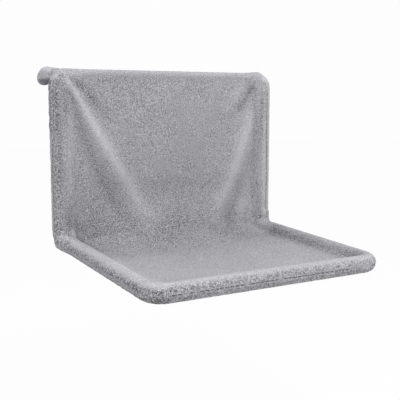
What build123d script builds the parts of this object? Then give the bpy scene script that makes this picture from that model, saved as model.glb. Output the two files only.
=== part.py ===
from build123d import *
import math
import os

# A cat bed that hangs by two hooks: a bent tube frame in four lengths, carrying a plush cover.
# X runs across the bed, Y back to the radiator, Z up. The origin is midway between the hooks, in
# the corner between the rear of the uprights and the underside of the crowns. The pieces are
# built about the rear corner of the seat and moved there when they are written.

# Stance of the bed
TUBE_SPACING = 408  # between the centrelines of the two sides
HOOK_DROP = 284  # from the underside of the crowns down to the rear corner of the seat
SEAT_DEPTH = 344.5  # from the upright to the front rail, centre to centre
SEAT_FALL = 14  # how much lower the front rail lies than the rear corner

# Tube and its joints
TUBE_R = 8
TUBE_WALL = 1.2
BEND_R = 22
CROWN_RISE_ANGLE = 5.2
CROWN_RUN = 68.9
LIP_TURN_ANGLE = 54
UPPER_JOINT_HEIGHT = 150  # above the rear corner
LOWER_JOINT_REACH = 190  # forward of the rear corner, along the rail
SWAGE_LENGTH = 30
SWAGE_TAPER = 4
SWAGE_GAP = 0.1
CAP_DOME = 2.6
CAP_PLUG_LENGTH = 5
CAP_PLUG_TAPER = 0.8

# Snap buttons and their hairpin springs
BUTTON_R = 3
BUTTON_PROUD = 1.8
BUTTON_DOME = 0.9
BUTTON_FLANGE_R = 3.4
BUTTON_NECK_R = 1.5
BUTTON_RIVET_R = 2.1
BUTTON_RIVET = 0.7
BUTTON_GAP = 0.3
BUTTON_FLOAT = 0.1
LEAF_THICKNESS = 0.6
LEAF_WIDTH = 7
LEAF_LENGTH = 26
LEAF_ARM_OFFSET = 2.6

# Cross channel behind the back, and its fastenings
CHANNEL_HEIGHT = 20
CHANNEL_DEPTH = 6
CHANNEL_GAUGE = 1.5
CHANNEL_LEVEL = 56  # above the rear corner
CHANNEL_END = 9  # past the centre of each screw
SCREW_R = 2.5
SCREW_LENGTH = 12
SCREW_HEAD_R = 4.7
SCREW_HEAD = 2.3
SCREW_HOLE_GAP = 0.3
SOCKET_R = 1.6
SOCKET_DEPTH = 1.2
RIVET_NUT_R = 3.6
RIVET_NUT_FLANGE_R = 4.6
RIVET_NUT_FLANGE = 0.6
RIVET_NUT_LENGTH = 10
RIVET_NUT_BULGE = 1.1

# Plush cover
COVER_R = 14.7  # round the rails and the uprights
HOOK_COVER_R = 13
COVER_GAP = 0.3
LOBE_REACH = 12.7  # how far the upright covers' filled seams stand outboard
LOBE_ANGLE = 7.7  # and how far those seams turn to the front
COVER_TOP = 24  # above the underside of the crowns
SLING_THICKNESS = 5
SLING_SET_BACK = 8  # face of the back, in front of the tubes' centres
SLING_SWEEP_R = 110  # of the curve from the back into the seat
SLING_CORNER_R = 14
SEAT_SAG = 12
FOLD_HEIGHT = 9
FOLD_HOLLOW = 3
HEM_WIDTH = 16.5
FLAP_LENGTH = 38
PANEL_THICKNESS = 3
PANEL_OFFSET = 10.4  # inner face of the rear panel, behind the tubes' centres
PANEL_STRAIGHT = 40  # part of the rear panel that lies straight behind the hem
PANEL_SLACK = 1.5
CLOSURE_HEIGHT = 20
CLOSURE_THICKNESS = 1.2
CLOSURE_INSET = 14
CLOSURE_DROP = 12

CUT_OVERRUN = 5

# Shapes of the sling, in shares of the sizes above
BACK_LEVEL_SHARES = (1.0, 0.86, 0.70, 0.52, 0.34, 0.17, 0.0)  # from the hem to the sweep's start
SWEEP_SHARES = (0.16, 0.30, 0.41, 0.482, 0.525, 0.57, 0.66, 0.78, 0.90)  # of the quarter turn
SEAT_REACH_SHARES = (0.0, 0.22, 0.45, 0.68, 0.87, 1.0)  # from the sweep's end to the front rim
SAG_SHARES = (0.72, 1.0, 1.0, 0.82, 0.45, 0.05)
SWEEP_SAG_SHARE = 0.72
LEFT_RIDGE_SHARES = (-0.90, -0.88, -0.82, -0.72, -0.62, -0.52, -0.43, -0.35, -0.31)
RIGHT_RIDGE_SHARES = (0.88, 0.88, 0.875, 0.86, 0.82, 0.76, 0.69, 0.62, 0.55)
LEFT_HEIGHT_SHARES = (0.0, 0.30, 0.60, 0.85, 1.0, 1.0, 0.90, 0.65, 0.35)
RIGHT_HEIGHT_SHARES = (0.0, 0.05, 0.15, 0.35, 0.65, 0.90, 0.95, 0.70, 0.35)
LAST_LEFT_RIDGE_SHARE = -0.30
LAST_RIGHT_RIDGE_SHARE = 0.50
HOLLOW_PLACE_SHARE = 0.5
PANEL_SAG_SHARES = (0.0, 0.6, 1.0, 1.0, 0.6, 0.0)

# Sizes that follow from those above
TUBE_X = TUBE_SPACING / 2
BORE_R = TUBE_R - TUBE_WALL
SWAGE_R = BORE_R - SWAGE_GAP
SWAGE_BORE_R = SWAGE_R - TUBE_WALL
FALL_ANGLE = math.degrees(math.atan2(SEAT_FALL, SEAT_DEPTH))
CORNER_TURN = 90 - FALL_ANGLE
CORNER_RUN = BEND_R * math.tan(math.radians(CORNER_TURN) / 2)
RAIL_LENGTH = math.hypot(SEAT_DEPTH, SEAT_FALL)
CROWN_TURN = 90 - CROWN_RISE_ANGLE
CROWN_START = (
    HOOK_DROP
    + HOOK_COVER_R * math.cos(math.radians(CROWN_RISE_ANGLE))
    - BEND_R * math.sin(math.radians(CROWN_TURN))
)
TOP_LEVEL = HOOK_DROP + COVER_TOP
COVER_BORE_R = TUBE_R + COVER_GAP
SLING_X = TUBE_X - COVER_R - COVER_GAP
BUTTON_HOLE_R = BUTTON_R + BUTTON_GAP
WEB_FACE = TUBE_R + RIVET_NUT_FLANGE
HEM_LEVEL = TOP_LEVEL - HEM_WIDTH / 2
HEM_FRONT = -SLING_SET_BACK
HEM_REAR = HEM_FRONT + HEM_WIDTH
FLAP_FACE = HEM_REAR - PANEL_THICKNESS
PANEL_TOP_FACE = FLAP_FACE - 2 * CLOSURE_THICKNESS - PANEL_THICKNESS
FRONT_EDGE = SEAT_DEPTH - COVER_R - COVER_GAP
RAIL_SLOPE = SEAT_FALL / SEAT_DEPTH

SIDE_PLANE = Plane(origin=(TUBE_X, 0, 0), x_dir=(0, 1, 0), z_dir=(1, 0, 0))
SEAT_PLANE = Plane(
    origin=(0, 0, 0),
    x_dir=(1, 0, 0),
    z_dir=(0, -math.sin(math.radians(FALL_ANGLE)), math.cos(math.radians(FALL_ANGLE))),
)
TO_HOOK_CORNER = Pos(0, -COVER_R, -HOOK_DROP)
DOWN = (0, -1)
UP = (0, 1)

pieces = {}


# Every piece is kept under its name; a pair is made for the right side and mirrored to the left.
def keep(name, shape):
    pieces[name] = shape


def keep_pair(name, shape):
    keep(name + "_right", shape)
    keep(name + "_left", mirror(shape, about=Plane.YZ))


# Centreline of a bent tube from its bending table: pairs of a straight run and a turn.
def centreline(start, heading, table, plane):
    edges = []
    here = Vector(*start)
    way = Vector(*heading)
    for run, turn in table:
        if run:
            edges.append(Line(here, here + way * run).edge())
            here = here + way * run
        if turn:
            bend = JernArc(here, way, BEND_R, turn)
            edges.append(bend.edge())
            here = bend @ 1
            way = bend % 1
    return plane * Wire(edges)


# A round bar that follows a centreline, whole or as a shell.
def bar(path, radius):
    return sweep(Plane(origin=path @ 0, z_dir=path % 0) * Circle(radius), path=path)


def shell(path, radius, bore):
    return bar(path, radius) - bar(path, bore)


# A cylinder, cone or profile that stands on a point and runs along a direction.
def rod(start, direction, radius, length):
    return extrude(Plane(origin=start, z_dir=direction) * Circle(radius), length)


def turned(start, direction, outline):
    profile = make_face(Polyline(*outline, close=True))
    solid = revolve(Plane.XZ * profile, Axis.Z)
    return Plane(origin=start, z_dir=direction).location * solid


def upright_point(level):
    return Vector(TUBE_X, 0, level)


def rail_point(reach):
    return Vector(*SEAT_PLANE.from_local_coords((TUBE_X, -reach, 0)))


RAIL_WAY = SEAT_PLANE.from_local_coords((0, -1, 0)) - SEAT_PLANE.from_local_coords((0, 0, 0))
INBOARD = Vector(-1, 0, 0)

HOOK_PATH = centreline(
    (0, UPPER_JOINT_HEIGHT),
    UP,
    [(CROWN_START - UPPER_JOINT_HEIGHT, -CROWN_TURN), (CROWN_RUN, -LIP_TURN_ANGLE)],
    SIDE_PLANE,
)
CROWN_PATH = centreline(
    (0, CROWN_START),
    UP,
    [(0, -CROWN_TURN), (CROWN_RUN, -LIP_TURN_ANGLE)],
    SIDE_PLANE,
)
CORNER_PATH = centreline(
    (0, UPPER_JOINT_HEIGHT - SWAGE_TAPER),
    DOWN,
    [
        (UPPER_JOINT_HEIGHT - SWAGE_TAPER - CORNER_RUN, -CORNER_TURN),
        (LOWER_JOINT_REACH - SWAGE_TAPER - CORNER_RUN, 0),
    ],
    SIDE_PLANE,
)
RIM_PATH = centreline(
    (0, CORNER_RUN),
    DOWN,
    [(0, -CORNER_TURN), (RAIL_LENGTH - BEND_R - CORNER_RUN, 0)],
    SIDE_PLANE,
)
SIDE_PATH = centreline(
    (0, TOP_LEVEL),
    DOWN,
    [(TOP_LEVEL - CORNER_RUN, -CORNER_TURN), (RAIL_LENGTH - BEND_R - CORNER_RUN, 0)],
    SIDE_PLANE,
)


def front_path(leg):
    return centreline(
        (-TUBE_X, BEND_R + leg - RAIL_LENGTH),
        DOWN,
        [(leg, 90), (TUBE_SPACING - 2 * BEND_R, 90), (leg, 0)],
        SEAT_PLANE,
    )


# The frame: two hooks, two corners and a front tube. Each corner tube has a swaged end that the
# next tube slips over, and a hole through both walls for the snap button.
def swaged_end(start, direction):
    end = SWAGE_TAPER + SWAGE_LENGTH
    outline = [
        (TUBE_R, 0),
        (SWAGE_R, SWAGE_TAPER),
        (SWAGE_R, end),
        (SWAGE_BORE_R, end),
        (SWAGE_BORE_R, SWAGE_TAPER),
        (BORE_R, 0),
    ]
    return turned(start, direction, outline)


UPPER_BUTTON = upright_point(UPPER_JOINT_HEIGHT + SWAGE_LENGTH / 2)
LOWER_BUTTON = rail_point(LOWER_JOINT_REACH + SWAGE_LENGTH / 2)


def button_hole(place):
    return rod(place, INBOARD, BUTTON_HOLE_R, TUBE_R + CUT_OVERRUN)


hook_tube = shell(HOOK_PATH, TUBE_R, BORE_R) - button_hole(UPPER_BUTTON)
keep_pair("hook_tube", hook_tube)

corner_tube = shell(CORNER_PATH, TUBE_R, BORE_R)
corner_tube += swaged_end(CORNER_PATH @ 0, (0, 0, 1))
corner_tube += swaged_end(CORNER_PATH @ 1, RAIL_WAY)
corner_tube -= button_hole(UPPER_BUTTON)
corner_tube -= button_hole(LOWER_BUTTON)
corner_tube -= rod(upright_point(CHANNEL_LEVEL), (0, 1, 0), RIVET_NUT_R, TUBE_R + CUT_OVERRUN)
keep_pair("corner_tube", corner_tube)

front_leg = RAIL_LENGTH - BEND_R - LOWER_JOINT_REACH
front_tube = shell(front_path(front_leg), TUBE_R, BORE_R) - button_hole(LOWER_BUTTON)
front_tube -= mirror(button_hole(LOWER_BUTTON), about=Plane.YZ)
keep("front_tube", front_tube)


# A plastic cap closes each hook's open end: a dome, and a tapered plug that enters the bend.
def end_cap():
    outline = [
        (0, CAP_DOME),
        (TUBE_R * math.sin(math.radians(45)), CAP_DOME * 0.8),
        (TUBE_R, 0),
        (BORE_R - SWAGE_GAP, 0),
        (BORE_R - CAP_PLUG_TAPER, -CAP_PLUG_LENGTH),
        (0, -CAP_PLUG_LENGTH),
    ]
    return turned(HOOK_PATH @ 1, HOOK_PATH % 1, outline)


keep_pair("hook_end_cap", end_cap())


# Snap buttons face inboard. Each has a domed pin, a flange inside the swaged tube and a neck
# riveted through one arm of a hairpin leaf spring.
def snap_button(place):
    seat = LEAF_ARM_OFFSET + LEAF_THICKNESS + BUTTON_FLOAT
    shoulder = math.sqrt(SWAGE_BORE_R**2 - BUTTON_FLANGE_R**2) - BUTTON_GAP
    top = TUBE_R + BUTTON_PROUD
    foot = LEAF_ARM_OFFSET - BUTTON_FLOAT
    outline = [
        (0, top),
        (BUTTON_R * math.sin(math.radians(30)), top - BUTTON_DOME * 0.2),
        (BUTTON_R * math.sin(math.radians(60)), top - BUTTON_DOME * 0.6),
        (BUTTON_R, top - BUTTON_DOME),
        (BUTTON_R, shoulder),
        (BUTTON_FLANGE_R, shoulder),
        (BUTTON_FLANGE_R, seat),
        (BUTTON_NECK_R, seat),
        (BUTTON_NECK_R, foot),
        (BUTTON_RIVET_R, foot),
        (BUTTON_RIVET_R, foot - BUTTON_RIVET),
        (0, foot - BUTTON_RIVET),
    ]
    return turned(place, INBOARD, outline)


def hairpin(place, along):
    middle = LEAF_ARM_OFFSET + LEAF_THICKNESS / 2
    arm = LEAF_LENGTH - middle
    tip = BUTTON_FLANGE_R + LEAF_THICKNESS
    plane = Plane(origin=place, x_dir=along, z_dir=Vector(*along).cross(INBOARD))
    outer = LEAF_ARM_OFFSET + LEAF_THICKNESS
    sketch = Rectangle(arm + tip, 2 * outer, align=(Align.MIN, Align.CENTER))
    sketch += Pos(arm + tip, 0) * Circle(outer)
    sketch -= Rectangle(arm + tip, 2 * LEAF_ARM_OFFSET, align=(Align.MIN, Align.CENTER))
    sketch -= Pos(arm + tip, 0) * Circle(LEAF_ARM_OFFSET)
    leaf = extrude(plane * (Pos(-tip, 0) * sketch), LEAF_WIDTH / 2, both=True)
    return leaf - rod(place, INBOARD, BUTTON_NECK_R + BUTTON_GAP, SWAGE_R)


for level_name, place, back_way in (
    ("upper", UPPER_BUTTON, Vector(0, 0, -1)),
    ("lower", LOWER_BUTTON, -RAIL_WAY),
):
    keep_pair("snap_button_" + level_name, snap_button(place))
    keep_pair("button_spring_" + level_name, hairpin(place, back_way))

# The cross channel keeps the two uprights apart. Its web laps behind them and its flanges
# face the back of the bed; screws go through it into rivet nuts in the uprights.
flange_x = SLING_X
channel_web = Plane.XZ * (
    Rectangle(TUBE_SPACING, CHANNEL_HEIGHT)
    + Pos(TUBE_X, 0) * Rectangle(2 * CHANNEL_END, CHANNEL_HEIGHT)
    + Pos(-TUBE_X, 0) * Rectangle(2 * CHANNEL_END, CHANNEL_HEIGHT)
)
channel = Pos(0, WEB_FACE + CHANNEL_GAUGE, CHANNEL_LEVEL) * extrude(channel_web, CHANNEL_GAUGE)
end_corners = channel.edges().filter_by(Axis.Y)
channel = fillet(end_corners, CHANNEL_HEIGHT / 4)
flange = Plane.XY * make_face(
    Polyline(
        (-flange_x, WEB_FACE),
        (-flange_x + CHANNEL_DEPTH, WEB_FACE - CHANNEL_DEPTH),
        (flange_x - CHANNEL_DEPTH, WEB_FACE - CHANNEL_DEPTH),
        (flange_x, WEB_FACE),
        close=True,
    )
)
flange_level = CHANNEL_LEVEL + CHANNEL_HEIGHT / 2 - CHANNEL_GAUGE
channel += Pos(0, 0, flange_level) * extrude(flange, CHANNEL_GAUGE)
channel += Pos(0, 0, CHANNEL_LEVEL - CHANNEL_HEIGHT / 2) * extrude(flange, CHANNEL_GAUGE)
for side in (-1, 1):
    hole_start = Vector(side * TUBE_X, WEB_FACE - CUT_OVERRUN, CHANNEL_LEVEL)
    channel -= rod(hole_start, (0, 1, 0), SCREW_R + SCREW_HOLE_GAP, 2 * CUT_OVERRUN + CHANNEL_GAUGE)
keep("cross_channel", channel)

rivet_nut = turned(
    upright_point(CHANNEL_LEVEL),
    (0, 1, 0),
    [
        (SCREW_R, WEB_FACE),
        (RIVET_NUT_FLANGE_R, WEB_FACE),
        (RIVET_NUT_FLANGE_R, TUBE_R),
        (RIVET_NUT_R, TUBE_R),
        (RIVET_NUT_R, BORE_R - RIVET_NUT_BULGE),
        (RIVET_NUT_R - TUBE_WALL / 2, BORE_R - 2 * RIVET_NUT_BULGE),
        (RIVET_NUT_R - TUBE_WALL / 2, WEB_FACE - RIVET_NUT_LENGTH),
        (SCREW_R, WEB_FACE - RIVET_NUT_LENGTH),
    ],
)
keep_pair("rivet_nut", rivet_nut)

head_face = WEB_FACE + CHANNEL_GAUGE
cross_screw = turned(
    upright_point(CHANNEL_LEVEL),
    (0, 1, 0),
    [
        (0, head_face + SCREW_HEAD),
        (SCREW_HEAD_R * math.sin(math.radians(45)), head_face + SCREW_HEAD * 0.85),
        (SCREW_HEAD_R, head_face + SCREW_HEAD / 3),
        (SCREW_HEAD_R, head_face),
        (SCREW_R, head_face),
        (SCREW_R, head_face - SCREW_LENGTH),
        (0, head_face - SCREW_LENGTH),
    ],
)
socket_start = upright_point(CHANNEL_LEVEL) + Vector(0, head_face + SCREW_HEAD - SOCKET_DEPTH, 0)
socket_face = Plane(origin=socket_start, z_dir=(0, 1, 0)) * RegularPolygon(SOCKET_R, 6)
cross_screw -= extrude(socket_face, SOCKET_DEPTH + CUT_OVERRUN)
keep_pair("cross_screw", cross_screw)


# The plush covers. Those of the uprights are sewn wider than the tube: their turned-in seams
# fill a lobe outboard of it, which ends in a round corner above and closes round the bend below.
def upright_cover():
    high = TOP_LEVEL - COVER_R - LOBE_REACH
    lobe_face = SlotCenterToCenter(LOBE_REACH, 2 * COVER_R)
    stem = extrude(Pos(LOBE_REACH / 2, 0, CORNER_RUN) * lobe_face, high - CORNER_RUN)
    foot = rod((0, 0, CORNER_RUN), (1, 0, 0), COVER_R, LOBE_REACH)
    foot += Pos(LOBE_REACH, 0, CORNER_RUN) * Sphere(COVER_R)
    half_slot = Rectangle(LOBE_REACH, 2 * COVER_R, align=(Align.MIN, Align.CENTER))
    half_slot += Pos(LOBE_REACH, 0) * Circle(COVER_R)
    half_slot = half_slot & Rectangle(
        LOBE_REACH + COVER_R, 2 * COVER_R, align=(Align.MIN, Align.CENTER)
    )
    crown = revolve(Pos(0, 0, high) * half_slot, Axis((0, 0, high), (0, -1, 0)), 90)
    inner = rod((0, 0, CORNER_RUN), (0, 0, 1), COVER_R, TOP_LEVEL - COVER_R - CORNER_RUN)
    inner += Pos(0, 0, TOP_LEVEL - COVER_R) * Sphere(COVER_R)
    return Pos(TUBE_X, 0, 0) * (Rot(0, 0, -LOBE_ANGLE) * (stem + foot + crown + inner))


def button_pocket(place):
    reach = TUBE_R + BUTTON_PROUD + BUTTON_GAP
    return rod(place, INBOARD, BUTTON_HOLE_R + BUTTON_GAP, reach)


upright_outer = upright_cover()
upright_shell = upright_outer - bar(RIM_PATH, COVER_R)
upright_shell -= bar(CROWN_PATH, COVER_BORE_R)
upright_shell -= rod(upright_point(0), (0, 0, 1), COVER_BORE_R, CROWN_START)
upright_shell -= button_pocket(UPPER_BUTTON)
lap = COVER_GAP
channel_slot = Box(
    TUBE_X + CHANNEL_END + lap,
    CHANNEL_GAUGE + RIVET_NUT_FLANGE + 2 * lap,
    CHANNEL_HEIGHT + 2 * lap,
    align=(Align.MIN, Align.MIN, Align.CENTER),
)
upright_shell -= Pos(0, TUBE_R - lap, CHANNEL_LEVEL) * channel_slot
head_pocket = head_face + SCREW_HEAD + lap
upright_shell -= rod(upright_point(CHANNEL_LEVEL), (0, 1, 0), SCREW_HEAD_R + lap, head_pocket)
keep_pair("upright_cover", upright_shell)

hook_outer = bar(CROWN_PATH, HOOK_COVER_R)
hook_outer += Pos(*(CROWN_PATH @ 1)) * Sphere(HOOK_COVER_R)
hook_shell = hook_outer - upright_outer - bar(CROWN_PATH, COVER_BORE_R)
hook_shell -= rod(CROWN_PATH @ 1, CROWN_PATH % 1, COVER_BORE_R, CAP_DOME + COVER_GAP)
keep_pair("hook_cover", hook_shell)

rim_side = shell(RIM_PATH, COVER_R, COVER_BORE_R) - button_pocket(LOWER_BUTTON)
keep_pair("rim_cover", rim_side)
keep("rim_cover_front", shell(front_path(0), COVER_R, COVER_BORE_R))


# The sling is lofted through sections across the bed: level ones down the back, a fan of them
# through the sweep and upright ones along the seat. Each section is a chain of arcs.
def arc_or_line(start, way, end):
    chord = end - start
    turn = way.X * chord.Y - way.Y * chord.X
    if abs(turn) < chord.length * 1e-5:
        return Line(start, end).edge()
    return TangentArc(start, end, tangent=way).edge()


def two_arcs(start, start_way, end, end_way):
    chord = end - start
    ways = start_way + end_way
    spread = 2 * (1 - start_way.dot(end_way))
    if spread < 1e-9:
        reach = chord.dot(chord) / (4 * chord.dot(end_way))
    else:
        along = chord.dot(ways)
        reach = (math.sqrt(along**2 + spread * chord.dot(chord)) - along) / spread
    middle = (start + start_way * reach + end - end_way * reach) / 2
    first = arc_or_line(start, start_way, middle)
    return [first, arc_or_line(middle, first % 1, end)]


def chain(points):
    slopes = [0]
    for before, here, after in zip(points, points[1:], points[2:]):
        rise = (here[1] - before[1]) / (here[0] - before[0])
        fall = (after[1] - here[1]) / (after[0] - here[0])
        slopes.append(2 * rise * fall / (rise + fall) if rise * fall > 0 else 0)
    first = (points[1][1] - points[0][1]) / (points[1][0] - points[0][0])
    last = (points[-1][1] - points[-2][1]) / (points[-1][0] - points[-2][0])
    slopes[0] = first * 1.3 - slopes[1] * 0.3
    slopes.append(last * 1.3 - slopes[-1] * 0.3)
    ways = [Vector(1, slope).normalized() for slope in slopes]
    edges = []
    for i in range(len(points) - 1):
        edges += two_arcs(Vector(*points[i]), ways[i], Vector(*points[i + 1]), ways[i + 1])
    return edges


def sling_section(plane, edge_depth, middle_depth, fold):
    def depth(x):
        return middle_depth + (edge_depth - middle_depth) * (x / SLING_X) ** 2

    left, right, left_height, right_height = fold
    left *= SLING_X
    right *= SLING_X
    middle = (left + right) / 2
    left_hollow = left + (-SLING_X - left) * HOLLOW_PLACE_SHARE
    right_hollow = right + (SLING_X - right) * HOLLOW_PLACE_SHARE
    points = [
        (-SLING_X, edge_depth),
        (left_hollow, depth(left_hollow) + FOLD_HOLLOW * left_height),
        (left, depth(left) - FOLD_HEIGHT * left_height),
        (middle, depth(middle)),
        (right, depth(right) - FOLD_HEIGHT * right_height),
        (right_hollow, depth(right_hollow) + FOLD_HOLLOW * right_height),
        (SLING_X, edge_depth),
    ]
    face_chain = chain(points)
    rear_chain = [Pos(0, SLING_THICKNESS) * edge for edge in face_chain]
    start = Line((-SLING_X, edge_depth), (-SLING_X, edge_depth + SLING_THICKNESS)).edge()
    end = Line((SLING_X, edge_depth), (SLING_X, edge_depth + SLING_THICKNESS)).edge()
    wire = Wire(face_chain + [end] + rear_chain[::-1] + [start])
    return plane * Face(wire)


def sling_plane(origin, depth_way):
    across = Vector(1, 0, 0)
    return Plane(origin=origin, x_dir=across, z_dir=across.cross(Vector(*depth_way)))


def edge_depth_in_sweep(angle):
    sweep_r = SLING_SWEEP_R
    run = sweep_r - SLING_SET_BACK
    slope = RAIL_SLOPE
    to_back = run / max(math.cos(angle), slope)
    to_seat = sweep_r * (1 + slope) / (math.sin(angle) + math.cos(angle) * slope)
    drop = sweep_r * (1 + slope) - SLING_SET_BACK * slope
    corner = math.atan2(drop, run)
    closeness = max(0, 1 - abs(angle - corner) * sweep_r / SLING_CORNER_R)
    return min(to_back, to_seat) - SLING_CORNER_R * (math.sqrt(2) - 1) * closeness


# The front corners of the sling and of the under panel are rounded to fit inside the rim's.
def corner_cuts(half_width, reach, radius):
    cuts = []
    for side in (-1, 1):
        square = Pos(side * half_width, -reach) * Rectangle(2 * radius, 2 * radius)
        round_part = Pos(side * (half_width - radius), radius - reach) * Circle(radius)
        inside = Pos(side * (half_width - radius), radius - reach) * Rectangle(
            2 * radius, 2 * radius, align=(Align.CENTER, Align.MIN)
        )
        behind = Pos(side * (half_width - 2 * radius), -reach) * Rectangle(2 * radius, 2 * radius)
        face = square - round_part - inside - behind
        cuts.append(Pos(0, 0, -COVER_R - SEAT_FALL) * extrude(face, 2 * (COVER_R + SEAT_FALL), both=True))
    return cuts


def sling():
    sections = []
    folds = list(
        zip(LEFT_RIDGE_SHARES, RIGHT_RIDGE_SHARES, LEFT_HEIGHT_SHARES, RIGHT_HEIGHT_SHARES)
    )
    faded = (LAST_LEFT_RIDGE_SHARE, LAST_RIGHT_RIDGE_SHARE, 0, 0)
    flat_depth = SLING_SWEEP_R - SLING_SET_BACK
    last_depth = SLING_SWEEP_R + SEAT_SAG * SWEEP_SAG_SHARE
    back_run = HEM_LEVEL - COVER_GAP - SLING_SWEEP_R
    for level_share in BACK_LEVEL_SHARES:
        level = SLING_SWEEP_R + back_run * level_share
        plane = sling_plane((0, -SLING_SWEEP_R, level), (0, 1, 0))
        sections.append(sling_section(plane, flat_depth, flat_depth, folds.pop(0)))
    for share in SWEEP_SHARES:
        angle = math.radians(90) * share
        depth_way = (0, math.cos(angle), -math.sin(angle))
        plane = sling_plane((0, -SLING_SWEEP_R, SLING_SWEEP_R), depth_way)
        middle_depth = flat_depth + (last_depth - flat_depth) * share
        fold = folds.pop(0) if folds else faded
        sections.append(sling_section(plane, edge_depth_in_sweep(angle), middle_depth, fold))
    for reach_share, sag in zip(SEAT_REACH_SHARES, SAG_SHARES):
        reach = SLING_SWEEP_R + (FRONT_EDGE - SLING_SWEEP_R) * reach_share
        plane = sling_plane((0, -reach, SLING_SWEEP_R - reach * RAIL_SLOPE), (0, 0, -1))
        middle_depth = SLING_SWEEP_R + SEAT_SAG * sag
        sections.append(sling_section(plane, SLING_SWEEP_R, middle_depth, faded))
    return loft(sections)


sling_panel = sling()
for cut in corner_cuts(SLING_X, FRONT_EDGE, BEND_R - COVER_R - COVER_GAP):
    sling_panel -= cut
keep("sling_panel", sling_panel)

# The top hem closes the cover: its rolled edge runs on into a flap behind, and a strip inside the
# flap grips one on the rear panel.
hem_profile = Pos((HEM_FRONT + HEM_REAR) / 2, HEM_LEVEL) * (
    Circle(HEM_WIDTH / 2) & Rectangle(HEM_WIDTH, HEM_WIDTH, align=(Align.CENTER, Align.MIN))
)
hem_profile += Pos(FLAP_FACE, HEM_LEVEL - FLAP_LENGTH) * Rectangle(
    PANEL_THICKNESS, FLAP_LENGTH, align=(Align.MIN, Align.MIN)
)
keep("top_hem", extrude(Plane.YZ * hem_profile, SLING_X, both=True))

strip_x = SLING_X - CLOSURE_INSET
strip_top = HEM_LEVEL - CLOSURE_DROP
panel_top_rear = PANEL_TOP_FACE + PANEL_THICKNESS


def closure_strip(face):
    return Pos(0, face, strip_top) * Box(
        2 * strip_x,
        CLOSURE_THICKNESS,
        CLOSURE_HEIGHT,
        align=(Align.CENTER, Align.MIN, Align.MAX),
    )


keep("closure_hook_strip", closure_strip(panel_top_rear))
keep("closure_loop_strip", closure_strip(FLAP_FACE - CLOSURE_THICKNESS))

# The rear panel hangs behind the back and turns under the rear bend; the under panel carries on
# from it below the seat, with a little more slack than the sling.
rear_start = HEM_LEVEL - COVER_GAP
slack_level = CHANNEL_LEVEL + CHANNEL_HEIGHT
bend_centre = Vector(-BEND_R, CORNER_RUN)
turn_way = Vector(math.sin(math.radians(FALL_ANGLE)), -math.cos(math.radians(FALL_ANGLE)))
half_way = Vector(math.cos(math.radians(CORNER_TURN / 2)), -math.sin(math.radians(CORNER_TURN / 2)))
outer_offset = PANEL_OFFSET + PANEL_THICKNESS


def bend_point(way, offset):
    return bend_centre + way * (BEND_R + offset)


rear_outline = Polyline(
    bend_point(Vector(1, 0), PANEL_OFFSET),
    (PANEL_OFFSET, slack_level),
    (PANEL_TOP_FACE, rear_start - PANEL_STRAIGHT),
    (PANEL_TOP_FACE, rear_start),
    (panel_top_rear, rear_start),
    (panel_top_rear, rear_start - PANEL_STRAIGHT),
    (outer_offset, slack_level),
    bend_point(Vector(1, 0), outer_offset),
).edges()
rear_outline += [
    ThreePointArc(
        bend_point(Vector(1, 0), outer_offset),
        bend_point(half_way, outer_offset),
        bend_point(turn_way, outer_offset),
    ).edge(),
    Line(bend_point(turn_way, outer_offset), bend_point(turn_way, PANEL_OFFSET)).edge(),
    ThreePointArc(
        bend_point(turn_way, PANEL_OFFSET),
        bend_point(half_way, PANEL_OFFSET),
        bend_point(Vector(1, 0), PANEL_OFFSET),
    ).edge(),
]
panel_x = TUBE_X - math.sqrt(COVER_R**2 - PANEL_OFFSET**2) - COVER_GAP
rear_panel = extrude(Plane.YZ * Face(Wire(rear_outline)), panel_x, both=True)
fitting = bar(SIDE_PATH, COVER_R + COVER_GAP)
rear_panel = rear_panel - fitting - mirror(fitting, about=Plane.YZ)
keep("rear_panel", rear_panel)


def under_section(reach, sag):
    origin = SEAT_PLANE.from_local_coords((0, -reach, 0))
    across = Plane(origin=origin, x_dir=(1, 0, 0), z_dir=RAIL_WAY)
    edge = -PANEL_OFFSET
    upper = ThreePointArc((-panel_x, edge), (0, edge - sag), (panel_x, edge)).edge()
    lower = Pos(0, -PANEL_THICKNESS) * upper
    start = Line(upper @ 0, lower @ 0).edge()
    end = Line(upper @ 1, lower @ 1).edge()
    return across * Face(Wire([upper, end, lower, start]))


under_drop = SEAT_SAG + SLING_THICKNESS + PANEL_SLACK - PANEL_OFFSET
under_end = RAIL_LENGTH - COVER_R - COVER_GAP
under_sections = []
for i, share in enumerate(PANEL_SAG_SHARES):
    reach = CORNER_RUN + (under_end - CORNER_RUN) * i / (len(PANEL_SAG_SHARES) - 1)
    under_sections.append(under_section(reach, max(under_drop * share, under_drop / 50)))
under_panel = loft(under_sections)
cover_half = math.sqrt((COVER_R + COVER_GAP) ** 2 - PANEL_OFFSET**2)
for cut in corner_cuts(panel_x, under_end, BEND_R - cover_half):
    under_panel -= cut
keep("under_panel", under_panel)

os.makedirs("parts", exist_ok=True)
for name, shape in pieces.items():
    export_step(TO_HOOK_CORNER * shape, "parts/" + name + ".step")
    print(name, round(shape.volume), shape.is_valid)
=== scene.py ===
import logging
import math
from dataclasses import dataclass, field
from enum import Enum
from typing import Iterable, Sequence

import bmesh
import bpy
import numpy as np
from mathutils import Matrix, Vector, noise
from mathutils.kdtree import KDTree


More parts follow.
